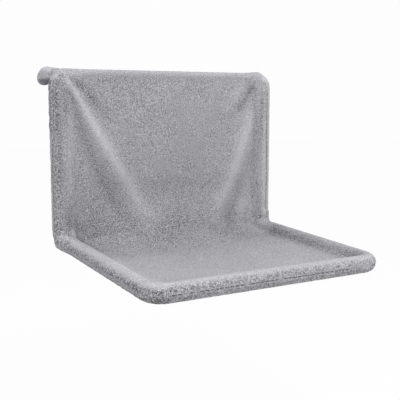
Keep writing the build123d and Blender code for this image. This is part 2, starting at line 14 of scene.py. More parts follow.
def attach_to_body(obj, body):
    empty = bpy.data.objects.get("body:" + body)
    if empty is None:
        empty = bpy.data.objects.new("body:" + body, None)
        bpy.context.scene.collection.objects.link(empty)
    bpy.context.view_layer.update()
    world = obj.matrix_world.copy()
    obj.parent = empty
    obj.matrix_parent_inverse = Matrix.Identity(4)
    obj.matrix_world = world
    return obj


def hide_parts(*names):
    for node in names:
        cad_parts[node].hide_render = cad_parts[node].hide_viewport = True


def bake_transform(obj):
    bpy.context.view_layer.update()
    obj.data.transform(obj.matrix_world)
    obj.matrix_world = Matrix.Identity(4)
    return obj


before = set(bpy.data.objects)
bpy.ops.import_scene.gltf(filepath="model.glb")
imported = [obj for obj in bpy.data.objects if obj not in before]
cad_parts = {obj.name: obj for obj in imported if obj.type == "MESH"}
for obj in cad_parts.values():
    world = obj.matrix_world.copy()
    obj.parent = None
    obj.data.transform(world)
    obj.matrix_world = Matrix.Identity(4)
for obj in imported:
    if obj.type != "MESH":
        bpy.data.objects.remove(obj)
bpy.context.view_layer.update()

LOG = logging.getLogger("hanging_bed")

BED = "bed"


def eased(value: float | np.ndarray, low: float, high: float) -> float | np.ndarray:
    """A smooth step from 0 at low to 1 at high; low may be the larger."""
    share = np.clip((value - low) / (high - low), 0.0, 1.0)
    return share * share * (3 - 2 * share)


def read_off(place: float, places: Sequence[float], values: Sequence[float]) -> float:
    """Reads a table smoothly, flat at each of its entries' turning points.

    Args:
        place: where to read.
        places: rising places of the table.
        values: the values there.

    Returns:
        The value at the place, by a monotone cubic.
    """
    if place <= places[0]:
        return values[0]
    if place >= places[-1]:
        return values[-1]
    i = max(k for k in range(len(places) - 1) if places[k] <= place)
    rises = [(b - a) / (q - p) for a, b, p, q in zip(values, values[1:], places, places[1:])]

    def slope(k: int) -> float:
        """The slope at entry k, nought where the table turns."""
        if k == 0 or k == len(places) - 1:
            return rises[min(k, len(rises) - 1)]
        before, after = rises[k - 1], rises[k]
        return 2 * before * after / (before + after) if before * after > 0 else 0.0

    step = places[i + 1] - places[i]
    t = (place - places[i]) / step
    return (
        values[i] * (1 + 2 * t) * (1 - t) ** 2
        + slope(i) * step * t * (1 - t) ** 2
        + values[i + 1] * t * t * (3 - 2 * t)
        + slope(i + 1) * step * t * t * (t - 1)
    )


@dataclass(frozen=True)
class Stance:
    """Where the tubes run, in metres from the rear corner of the seat."""

    tube_x: float = 0.204
    corner_y: float = -0.0147
    corner_z: float = -0.284
    seat_depth: float = 0.3445
    seat_fall: float = 0.014
    bend_r: float = 0.022
    roll_r: float = 0.0147
    top: float = 0.308

    @property
    def slope(self) -> float:
        """How fast the seat falls to the front."""
        return self.seat_fall / self.seat_depth

    @property
    def rail_way(self) -> Vector:
        """Unit vector along a side rail, to the front."""
        return Vector((0, -self.seat_depth, -self.seat_fall)).normalized()

    @property
    def seat_up(self) -> Vector:
        """Unit vector square to the seat, upwards."""
        return Vector((1, 0, 0)).cross(self.rail_way) * -1

    @property
    def corner_turn(self) -> float:
        """Angle of the bend from the upright to the rail."""
        return math.pi / 2 - math.atan(self.slope)

    @property
    def corner_run(self) -> float:
        """From the rear corner's vertex to the start of its bend."""
        return self.bend_r * math.tan(self.corner_turn / 2)

    @property
    def rail_run(self) -> float:
        """Straight length of a side rail, between its bends."""
        whole = math.hypot(self.seat_depth, self.seat_fall)
        return whole - self.bend_r - self.corner_run

    def place(self, x: float, y: float, z: float) -> Vector:
        """A point given from the seat's rear corner, in the part's own frame."""
        return Vector((x, y + self.corner_y, z + self.corner_z))


class Roll:
    """A round roll of plush that grows from one ring by straight runs and bends."""

    def __init__(
        self, bm: bmesh.types.BMesh, start: Vector, way: Vector, top: Vector, radius: float
    ) -> None:
        """Starts the roll.

        Args:
            bm: the mesh that it grows in.
            start: centre of the first ring.
            way: direction of growth.
            top: the side of the roll that faces the cat.
            radius: of the ring.
        """
        self.bm = bm
        self.here = start.copy()
        self.way = way.normalized()
        self.top = top.normalized()
        self.line: list[tuple[Vector, Vector, Vector, float]] = []
        self.length = 0.0
        aim = Vector((0, 0, 1)).rotation_difference(self.way).to_matrix().to_4x4()
        made = bmesh.ops.create_circle(
            bm, cap_ends=True, segments=36, radius=radius, matrix=Matrix.Translation(start) @ aim
        )
        self.ring = list(dict.fromkeys(e for v in made["verts"] for e in v.link_edges))
        self._note()

    def _note(self) -> None:
        """Notes the roll's centre, and which way its outer side and its top face."""
        self.line.append((self.here.copy(), self.way.cross(self.top), self.top.copy(), self.length))

    def run(self, length: float) -> None:
        """Grows the roll straight on by a length."""
        made = bmesh.ops.extrude_edge_only(self.bm, edges=self.ring)["geom"]
        verts = [g for g in made if isinstance(g, bmesh.types.BMVert)]
        ring = set(verts)
        self.ring = [g for g in made if isinstance(g, bmesh.types.BMEdge) and set(g.verts) <= ring]
        bmesh.ops.translate(self.bm, vec=self.way * length, verts=verts)
        steps = max(1, round(length / 0.003))
        for _ in range(steps):
            self.here += self.way * (length / steps)
            self.length += length / steps
            self._note()

    def turn(self, angle: float, side: Vector, radius: float) -> None:
        """Bends the roll towards a side.

        Args:
            angle: of the bend, in radians.
            side: direction from the roll's centre to the bend's.
            radius: of the bend, at the roll's centre.
        """
        side = (side - self.way * side.dot(self.way)).normalized()
        axis = self.way.cross(side)
        centre = self.here + side * radius
        steps = max(4, round(angle * radius / 0.003))
        made = bmesh.ops.spin(
            self.bm, geom=self.ring, cent=centre, axis=axis, angle=angle, steps=steps,
            use_merge=False,
        )["geom_last"]
        verts = {g for g in made if isinstance(g, bmesh.types.BMVert)}
        self.ring = [g for g in made if isinstance(g, bmesh.types.BMEdge) and set(g.verts) <= verts]
        turn = Matrix.Rotation(angle / steps, 3, axis)
        for _ in range(steps):
            self.here = centre + turn @ (self.here - centre)
            self.way = turn @ self.way
            self.top = turn @ self.top
            self.length += angle * radius / steps
            self._note()

    def close(self) -> None:
        """Closes the last ring."""
        bmesh.ops.contextual_create(self.bm, geom=self.ring)


def ball(bm: bmesh.types.BMesh, centre: Vector, radius: float) -> list[bmesh.types.BMVert]:
    """Adds a ball, and returns its points."""
    made = bmesh.ops.create_uvsphere(
        bm, u_segments=36, v_segments=24, radius=radius, matrix=Matrix.Translation(centre)
    )
    return made["verts"]


def moved_into(bm: bmesh.types.BMesh, part: bmesh.types.BMesh) -> None:
    """Moves all of a part into a body."""
    mesh = bpy.data.meshes.new("part")
    part.to_mesh(mesh)
    part.free()
    bm.from_mesh(mesh)
    bpy.data.meshes.remove(mesh)


def placed(bm: bmesh.types.BMesh, name: str, smooth: bool = True) -> bpy.types.Object:
    """Turns a body into an object of the scene.

    Args:
        bm: the body, which is used up.
        name: of the object.
        smooth: whether its faces are made smooth, or stay as they are.

    Returns:
        The object.
    """
    mesh = bpy.data.meshes.new(name)
    bm.to_mesh(mesh)
    bm.free()
    if smooth:
        mesh.shade_smooth()
    obj = bpy.data.objects.new(name, mesh)
    bpy.context.scene.collection.objects.link(obj)
    return obj


def tree_of(places: Sequence[Vector]) -> KDTree:
    """A tree that finds the nearest of some places."""
    tree = KDTree(len(places))
    for i, place in enumerate(places):
        tree.insert(place, i)
    tree.balance()
    return tree


def rows_of(elements: bpy.types.bpy_prop_collection, name: str) -> np.ndarray:
    """Rows of the three values that a mesh's elements have under a name."""
    values = np.empty(len(elements) * 3)
    elements.foreach_get(name, values)
    return values.reshape(-1, 3)


def band(value: np.ndarray, middle: float, reach: float) -> np.ndarray:
    """1 at the middle, and softly less to either side."""
    return np.exp(-(((value - middle) / reach) ** 2))


def wrapped(bm: bmesh.types.BMesh, balls: Iterable[tuple[Vector, float]]) -> None:
    """Adds the skin that wraps tightly round some balls, given by centre and radius."""
    part = bmesh.new()
    for centre, radius in balls:
        ball(part, centre, radius)
    bmesh.ops.delete(part, geom=part.faces[:], context="FACES_ONLY")
    bmesh.ops.delete(part, geom=part.edges[:], context="EDGES_FACES")
    hull = bmesh.ops.convex_hull(part, input=part.verts[:])
    spare = hull["geom_interior"] + hull["geom_unused"]
    loose = dict.fromkeys(g for g in spare if isinstance(g, bmesh.types.BMVert))
    bmesh.ops.delete(part, geom=list(loose), context="VERTS")
    moved_into(bm, part)


def nearest_on(
    table: np.ndarray, x: np.ndarray, other: np.ndarray
) -> tuple[np.ndarray, np.ndarray, np.ndarray]:
    """Finds where on a line of stations some places are nearest to it.

    Args:
        table: the stations, whose first two columns are their places.
        x: across the bed.
        other: the places' second coordinate.

    Returns:
        The distance from the line, where on it the nearest point is, in stations, and the step
        across the bed from there.
    """
    best, at, step = np.full(x.shape, 1e9), np.zeros(x.shape), np.zeros(x.shape)
    for i, (a, b) in enumerate(zip(table, table[1:])):
        way = b[:2] - a[:2]
        share = np.clip(((x - a[0]) * way[0] + (other - a[1]) * way[1]) / (way @ way), 0.0, 1.0)
        off_x, off_y = x - a[0] - way[0] * share, other - a[1] - way[1] * share
        far = np.hypot(off_x, off_y)
        closer = far < best
        best, at = np.where(closer, far, best), np.where(closer, i + share, at)
        step = np.where(closer, off_x, step)
    return best, at, step


@dataclass(frozen=True)
class PaintedStroke:
    """A painted highlight or painted shade along a line, lighter or darker than around it.

    Each station has its place across the bed and above the seat's rear corner, how far the stroke
    reaches to either side, in metres, and how much lighter it is.
    """

    stations: tuple[tuple[float, float, float, float], ...]

    def tone(self, x: np.ndarray, high: np.ndarray) -> np.ndarray:
        """How much lighter the stroke makes some places."""
        table = np.array(self.stations)
        far, at, _ = nearest_on(table, x, high)
        places = np.arange(len(table))
        reach, lighter = (np.interp(at, places, table[:, k]) for k in (2, 3))
        return lighter * np.exp(-((far / reach) ** 2))


@dataclass(frozen=True)
class Fold:
    """A fold of the back: a hollow slope inboard of its crest and a rounded one outboard.

    Each station of the crest has its place across the bed and down the cloth from the hem, the
    height of the crest, how far the two slopes reach and how round the crest is, in metres.
    """

    stations: tuple[tuple[float, float, float, float, float, float], ...]
    hollow: float
    foot: float

    def section(self, x: np.ndarray, run: np.ndarray) -> tuple[np.ndarray, ...]:
        """Finds the fold's sections that pass some places.

        Args:
            x: across the bed.
            run: down the cloth from the hem.

        Returns:
            The distance from the crest, nought or less inboard of it, and the height, the inner
            reach, the outer reach and the roundness there.
        """
        table = np.array(self.stations)
        outward = 1 if table[0, 0] > 0 else -1
        far, at, step = nearest_on(table, x, run)
        side = np.where(step * outward > 0, 1.0, -1.0)
        places = np.arange(len(table))
        height, inner, outer, soft = (np.interp(at, places, table[:, k]) for k in (2, 3, 4, 5))
        return far * side, height, inner, outer, soft

    def lift(self, x: np.ndarray, run: np.ndarray) -> np.ndarray:
        """How far the fold lifts the cloth towards the cat at some places."""
        away, height, inner, outer, soft = self.section(x, run)
        inboard = height * np.exp(-(np.hypot(away, soft) - soft) / inner)
        dome = np.cos(math.pi / 2 * np.clip(away / outer, 0.0, 1.0)) ** 1.2
        fade = eased(away / outer, 1.9, 0.9)
        outboard = height * ((1 + self.hollow) * dome - self.hollow * fade)
        return np.where(away <= 0, inboard, outboard)

    def shade(self, x: np.ndarray, run: np.ndarray) -> np.ndarray:
        """Painted highlight on the crest, and painted light or shade at the foot, by the sign of
        foot.
        """
        away, height, _, outer, soft = self.section(x, run)
        strength = np.clip(height / 0.009, 0.0, 1.0)
        width = 0.004 + soft * 1.3
        crest = np.exp(-(((away + width * 0.2) / width) ** 2))
        foot = np.exp(-(((away - outer * 0.85) / (outer * 0.4)) ** 2))
        return strength * (crest + self.foot * foot)


LEFT_FOLD = Fold(
    stations=(
        (-0.208, 0.000, 0.0030, 0.008, 0.010, 0.002),
        (-0.195, 0.020, 0.0070, 0.009, 0.012, 0.002),
        (-0.177, 0.052, 0.0084, 0.012, 0.018, 0.002),
        (-0.157, 0.088, 0.0102, 0.016, 0.024, 0.003),
        (-0.136, 0.125, 0.0114, 0.020, 0.032, 0.004),
        (-0.111, 0.168, 0.0114, 0.024, 0.038, 0.006),
        (-0.092, 0.200, 0.0100, 0.026, 0.041, 0.008),
        (-0.076, 0.230, 0.0085, 0.028, 0.040, 0.010),
        (-0.058, 0.262, 0.0055, 0.028, 0.036, 0.012),
        (-0.044, 0.295, 0.0000, 0.028, 0.030, 0.014),
    ),
    hollow=0.16,
    foot=-0.06,
)
RIGHT_FOLD = Fold(
    stations=(
        (0.196, 0.020, 0.0000, 0.010, 0.010, 0.004),
        (0.193, 0.040, 0.0024, 0.014, 0.014, 0.005),
        (0.187, 0.070, 0.0052, 0.020, 0.020, 0.006),
        (0.178, 0.095, 0.0076, 0.026, 0.028, 0.007),
        (0.162, 0.130, 0.0100, 0.030, 0.040, 0.008),
        (0.151, 0.158, 0.0105, 0.030, 0.041, 0.008),
        (0.139, 0.193, 0.0104, 0.030, 0.040, 0.008),
        (0.126, 0.220, 0.0092, 0.028, 0.036, 0.009),
        (0.098, 0.262, 0.0060, 0.026, 0.030, 0.012),
        (0.074, 0.295, 0.0000, 0.024, 0.026, 0.013),
    ),
    hollow=0.16,
    foot=0.25,
)
TOP_RIGHT_FOLD = Fold(
    stations=(
        (0.175, 0.000, 0.0000, 0.012, 0.018, 0.004),
        (0.165, 0.012, 0.0030, 0.014, 0.024, 0.004),
        (0.155, 0.028, 0.0038, 0.016, 0.025, 0.005),
        (0.140, 0.046, 0.0034, 0.018, 0.024, 0.005),
        (0.127, 0.062, 0.0022, 0.018, 0.022, 0.005),
        (0.114, 0.078, 0.0000, 0.018, 0.020, 0.005),
    ),
    hollow=0.30,
    foot=0.10,
)
# Lines of painted highlight and painted shade on the plush, where light or shade falls on its
# rolls, folds and creases.
PAINTED_STROKES = (
    # The left fold's crest goes on over the top corner.
    PaintedStroke(stations=(
        (-0.2150, 0.3060, 0.0045, 0.30),
        (-0.2076, 0.2960, 0.0046, 0.65),
        (-0.1998, 0.2825, 0.0042, 0.65),
        (-0.1900, 0.2690, 0.0038, 0.35),
        (-0.1820, 0.2560, 0.0038, 0.00),
    )),
    # The valley inboard of the left fold's top is dark.
    PaintedStroke(stations=(
        (-0.1914, 0.2935, 0.0050, -0.30),
        (-0.1830, 0.2830, 0.0060, -0.45),
        (-0.1643, 0.2696, 0.0090, -0.70),
        (-0.1514, 0.2557, 0.0100, -0.70),
        (-0.1384, 0.2415, 0.0110, -0.45),
        (-0.1271, 0.2272, 0.0110, -0.35),
        (-0.1176, 0.2127, 0.0110, 0.00),
    )),
    # So is the top of the left upright, inboard of its curls.
    PaintedStroke(stations=(
        (-0.2190, 0.2880, 0.0080, -0.30),
        (-0.2080, 0.2620, 0.0120, -0.60),
        (-0.2060, 0.2250, 0.0120, -0.40),
        (-0.2060, 0.2000, 0.0100, 0.00),
    )),
    # A dark line runs down the left upright, outboard of its front.
    PaintedStroke(stations=(
        (-0.2180, 0.2400, 0.0040, -0.10),
        (-0.2185, 0.2100, 0.0042, -0.65),
        (-0.2185, 0.1400, 0.0042, -0.60),
        (-0.2180, 0.0800, 0.0045, -0.25),
        (-0.2160, 0.0400, 0.0050, -0.15),
    )),
    # A thin light ridge beside that line.
    PaintedStroke(stations=(
        (-0.2030, 0.2000, 0.0040, 0.00),
        (-0.2030, 0.1700, 0.0042, 0.25),
        (-0.2030, 0.1100, 0.0042, 0.20),
        (-0.2040, 0.0850, 0.0040, 0.00),
    )),
    # The cloth beside the left upright is light, down to the seat.
    PaintedStroke(stations=(
        (-0.1930, 0.2620, 0.0060, 0.20),
        (-0.1920, 0.2200, 0.0065, 0.50),
        (-0.1900, 0.1500, 0.0070, 0.45),
        (-0.1900, 0.1000, 0.0070, 0.25),
        (-0.1860, 0.0600, 0.0100, 0.45),
        (-0.1800, 0.0200, 0.0120, 0.40),
    )),
    # The foot of that upright is dark on its inner side.
    PaintedStroke(stations=(
        (-0.2000, 0.1000, 0.0050, 0.00),
        (-0.2020, 0.0700, 0.0055, -0.45),
        (-0.2060, 0.0400, 0.0060, -0.50),
        (-0.2060, 0.0200, 0.0060, 0.00),
    )),
    # The valley outboard of the fold at the top right is dark.
    PaintedStroke(stations=(
        (0.1916, 0.2918, 0.0035, -0.30),
        (0.1869, 0.2838, 0.0038, -0.45),
        (0.1786, 0.2719, 0.0042, -0.50),
        (0.1703, 0.2560, 0.0046, -0.40),
        (0.1585, 0.2402, 0.0050, -0.25),
        (0.1491, 0.2245, 0.0050, 0.00),
    )),
    # A dark crease runs down the right upright's inner side.
    PaintedStroke(stations=(
        (0.2060, 0.2750, 0.0035, -0.20),
        (0.2050, 0.2550, 0.0040, -0.65),
        (0.2045, 0.2000, 0.0042, -0.55),
        (0.2000, 0.1600, 0.0045, -0.30),
        (0.1990, 0.1000, 0.0045, -0.35),
        (0.1985, 0.0400, 0.0045, -0.30),
    )),
    # A light ridge runs down that upright's front.
    PaintedStroke(stations=(
        (0.2145, 0.2700, 0.0045, 0.15),
        (0.2140, 0.2000, 0.0048, 0.50),
        (0.2130, 0.1400, 0.0052, 0.75),
        (0.2130, 0.0800, 0.0056, 0.95),
        (0.2130, 0.0350, 0.0056, 0.95),
        (0.2130, 0.0180, 0.0050, 0.00),
    )),
    # The lower right corner of the back is light.
    PaintedStroke(stations=(
        (0.1920, 0.0700, 0.0100, 0.20),
        (0.1880, 0.0400, 0.0130, 1.10),
        (0.1840, 0.0150, 0.0130, 1.20),
        (0.1780, 0.0020, 0.0120, 0.60),
    )),
    # The left rail's roll is light where it meets the upright.
    PaintedStroke(stations=(
        (-0.2010, 0.0260, 0.0050, 0.40),
        (-0.1930, 0.0200, 0.0065, 0.70),
        (-0.1850, 0.0140, 0.0065, 0.60),
        (-0.1770, 0.0080, 0.0060, 0.30),
    )),
    # The sweep is light, inboard of the right corner.
    PaintedStroke(stations=(
        (0.1880, 0.1500, 0.0100, 0.00),
        (0.1830, 0.1100, 0.0110, 0.45),
        (0.1740, 0.0750, 0.0140, 0.60),
        (0.1620, 0.0450, 0.0160, 0.85),
        (0.1560, 0.0200, 0.0160, 0.55),
    )),
    # The right heel is dark on its outer side.
    PaintedStroke(stations=(
        (0.2190, 0.0300, 0.0060, 0.00),
        (0.2170, 0.0180, 0.0070, -0.60),
        (0.2130, 0.0040, 0.0070, -0.50),
    )),
)


@dataclass(frozen=True)
class ClothForm:
    """The cloth between the rolls: its front face and its rear face.

    Both are given by a share across, from -1 at the left to 1 at the right, and by a run down the
    front face, from the hem to the front rail.
    """

    stance: Stance = Stance()
    half: float = 0.189
    reach_x: float = 0.200
    hem_level: float = 0.3002
    set_back: float = 0.008
    sweep_r: float = 0.110
    sweep_run: float = 0.165
    corner_soft: float = 0.014
    sag: float = 0.012
    rear_offset: float = 0.0134
    rear_top: float = 0.0031
    under_sag: float = 0.0081
    folds: tuple[Fold, ...] = (LEFT_FOLD, RIGHT_FOLD, TOP_RIGHT_FOLD)

    @property
    def back_run(self) -> float:
        """From the hem down to the start of the sweep."""
        return self.hem_level - self.sweep_r

    @property
    def seat_reach(self) -> float:
        """From the back to where the cloth ends inside the front roll."""
        return self.stance.seat_depth - (self.stance.tube_x - self.reach_x)

    @property
    def whole_run(self) -> float:
        """From the hem to the end of the cloth."""
        return self.back_run + self.sweep_run + self.seat_reach - self.sweep_r

    def edge_in_sweep(self, angle: float) -> float:
        """Depth of the cloth's side edge in the sweep, which follows the frame's corner."""
        slope = self.stance.slope
        run = self.sweep_r - self.set_back
        to_back = run / max(math.cos(angle), slope)
        to_seat = self.sweep_r * (1 + slope) / (math.sin(angle) + math.cos(angle) * slope)
        corner = math.atan2(self.sweep_r * (1 + slope) - self.set_back * slope, run)
        soft = self.corner_soft
        near = max(0.0, 1 - abs(angle - corner) * self.sweep_r / soft)
        return min(to_back, to_seat) - soft * (math.sqrt(2) - 1) * near

    def sag_at(self, reach: float) -> float:
        """How far the middle of the seat hangs at a reach from the back."""
        end = self.stance.seat_depth - self.stance.roll_r
        shares = (0.72, 1.0, 1.0, 0.82, 0.45, 0.05)
        stops = (0.0, 0.22, 0.45, 0.68, 0.87, 1.0)
        places = [self.sweep_r + (end - self.sweep_r) * stop for stop in stops]
        return self.sag * read_off(reach, places, shares)

    def line_of_sight(self, run: float) -> tuple[Vector, Vector, float, float]:
        """Where a run is measured from, and which way.

        Args:
            run: down the front face from the hem.

        Returns:
            A point above the cloth, the direction down to it, and the depths of the front face at
            the side edge and at the middle.
        """
        sweep_r = self.sweep_r
        flat = sweep_r - self.set_back
        last = sweep_r * (1 + self.stance.slope) + self.sag_at(sweep_r)
        if run <= self.back_run:
            return Vector((0, -sweep_r, self.hem_level - run)), Vector((0, 1, 0)), flat, flat
        if run <= self.back_run + self.sweep_run:
            share = (run - self.back_run) / self.sweep_run
            angle = share * math.pi / 2
            way = Vector((0, math.cos(angle), -math.sin(angle)))
            middle = flat + (last - flat) * share
            return Vector((0, -sweep_r, sweep_r)), way, self.edge_in_sweep(angle), middle
        reach = sweep_r + run - self.back_run - self.sweep_run
        start = Vector((0, -reach, sweep_r - reach * self.stance.slope))
        return start, Vector((0, 0, -1)), sweep_r, sweep_r + self.sag_at(reach)

    def lift(self, x: np.ndarray, run: np.ndarray) -> np.ndarray:
        """How far the folds lift the front face towards the cat at some places."""
        fade = eased(np.abs(x), self.half + 0.008, self.half - 0.006)
        return sum(fold.lift(x, run) for fold in self.folds) * fade

    def front(self, x: float, run: float, lift: float) -> Vector:
        """A point of the front face, lifted by its folds."""
        start, way, edge, middle = self.line_of_sight(run)
        across = min(1.0, abs(x) / self.half)
        depth = middle + (edge - middle) * across**2
        fade = eased(abs(x), self.half + 0.008, self.half - 0.006)
        ripple = noise.noise(Vector((x * 14, run * 11, 3.7))) * 0.0011
        depth -= lift + ripple * fade * eased(run, 0.0, 0.03)
        point = start + way * depth
        return self.stance.place(x, point.y, point.z)

    def run_at(self, y: np.ndarray, z: np.ndarray) -> np.ndarray:
        """The runs of places seen from the side, given from the seat's rear corner."""
        ahead, above = y + self.sweep_r, z - self.sweep_r
        turned = self.back_run + np.arctan2(-above, ahead) / (math.pi / 2) * self.sweep_run
        seat = self.back_run + self.sweep_run - ahead
        return np.where(above >= 0, self.hem_level - z, np.where(ahead >= 0, turned, seat))

    def shade(self, x: np.ndarray, run: np.ndarray) -> np.ndarray:
        """The painted light and shade of the folds at some places."""
        fade = eased(np.abs(x), self.half + 0.012, self.half - 0.004) * eased(run, 0.36, 0.31)
        return sum(fold.shade(x, run) for fold in self.folds) * fade

    def rear_depth(self, start: Vector, way: Vector, offset: float) -> float:
        """Distance along a line of sight to a line that runs outside the tubes."""
        stance = self.stance
        slope = stance.slope
        if way.y < 1e-6:
            return start.z - (slope * start.y - offset * math.hypot(1, slope))
        to_back = (offset - start.y) / way.y
        if way.z > -1e-6:
            return to_back
        low = offset * math.hypot(1, slope)
        to_seat = (start.z - slope * start.y + low) / (slope * way.y - way.z)
        depth = min(to_back, to_seat)
        centre = Vector((0, -stance.bend_r, stance.corner_run))
        off = centre - start
        off.x = 0
        along = off.dot(way)
        round_r = stance.bend_r + offset
        square = along * along - off.length_squared + round_r * round_r
        hit = start + way * depth
        if hit.y > centre.y and hit.z < centre.z and square > 0:
            depth = min(depth, along + math.sqrt(square))
        return depth

    def rear(self, x: float, run: float) -> Vector:
        """A point of the rear face, behind the back and under the seat."""
        start, way, _, _ = self.line_of_sight(run)
        across = min(1.0, abs(x) / self.half)
        offset = self.rear_offset
        if run < self.back_run:
            offset = read_off(start.z, (0.076, 0.259), (self.rear_offset, self.rear_top))
            offset += (self.rear_offset - 0.001 - offset) * eased(across, 0.9, 1.0)
        depth = self.rear_depth(start, way, offset)
        hit = start + way * depth
        if way.z < -0.05:
            stance = self.stance
            end = stance.seat_depth - stance.roll_r
            places = [stance.corner_run + (end - stance.corner_run) * i / 5 for i in range(6)]
            share = read_off(-hit.y, places, (0.0, 0.6, 1.0, 1.0, 0.6, 0.0))
            depth += self.under_sag * share * (1 - across**2) * eased(-way.z, 0.5, 1.0)
        point = start + way * depth
        return self.stance.place(x, point.y, point.z)


@dataclass(frozen=True)
class Places:
    """Where the points of the cover are, one value of each kind for every point.

    Lengths are in metres. x is across the bed, high is above the seat's rear corner and behind is
    to the rear of it, run is down the cloth from the hem, and out is from the centre of the nearest
    roll to its outer side. fall is the angle round that roll in degrees, nought at its outer side
    and 90 at its top, and from_seam is the way round it from the seam. on_roll goes from 0 on the
    cloth to 1, and front says which points are on the seam's side towards the cat.
    """

    x: np.ndarray
    high: np.ndarray
    behind: np.ndarray
    run: np.ndarray
    out: np.ndarray
    fall: np.ndarray
    from_seam: np.ndarray
    on_roll: np.ndarray
    on_hook: np.ndarray
    front: np.ndarray

    @property
    def left(self) -> np.ndarray:
        """The left half of the bed."""
        return self.x < 0

    @property
    def left_rail(self) -> np.ndarray:
        """The left rail of the seat, and the front corner beside it."""
        return (self.x < -0.185) & (self.behind < -0.04)

    @property
    def left_outside(self) -> np.ndarray:
        """The outer part of the left upright and rail."""
        return self.x < -0.195

    @property
    def upright(self) -> np.ndarray:
        """The rolls round the uprights."""
        return (self.high > 0.03) & (self.on_roll > 0)

    @property
    def outboard(self) -> np.ndarray:
        """The outer side of the uprights, behind the seam."""
        return self.upright & ~self.front & (self.fall > -45)

    @property
    def on_cloth(self) -> np.ndarray:
        """The cloth's front face, with the inner side of the rolls."""
        return self.front & (self.out < 0.004) & ~self.on_hook


@dataclass(frozen=True)
class SeamForm:
    """Where the seam round the cover lies on its rolls, as angles from their outer side."""

    left_top: float = math.radians(40)
    left_low: float = math.radians(18)
    right_upright: float = math.radians(80)
    rail: float = math.radians(-14)
    front: float = math.radians(0)
    groove: float = 0.0011
    groove_width: float = 0.0017
    reach: float = 0.008
    left_end: float = 0.300
    right_end: float = 0.276
    on_left_rail: float = 0.15
    bold_right: float = 1.6

    def end(self, at: Places) -> np.ndarray:
        """How high the seam goes on each side."""
        return np.where(at.left, self.left_end, self.right_end)

    def nearness(self, at: Places) -> tuple[np.ndarray, np.ndarray]:
        """How near places are to the seam, and how far it shows there, both from 0 to 1."""
        near = np.clip((self.reach - np.abs(at.from_seam)) / 0.003, 0, 1) * at.on_roll * ~at.on_hook
        below_end = np.clip((self.end(at) - at.high) / 0.006, 0, 1)
        return near, near * below_end * np.where(at.left_rail, self.on_left_rail, 1.0)

    def calm_above(self, at: Places) -> np.ndarray:
        """How much of the nap is left, which falls to a quarter above the seam's end."""
        return np.clip((self.end(at) + 0.012 - at.high) / 0.014, 0.25, 1)


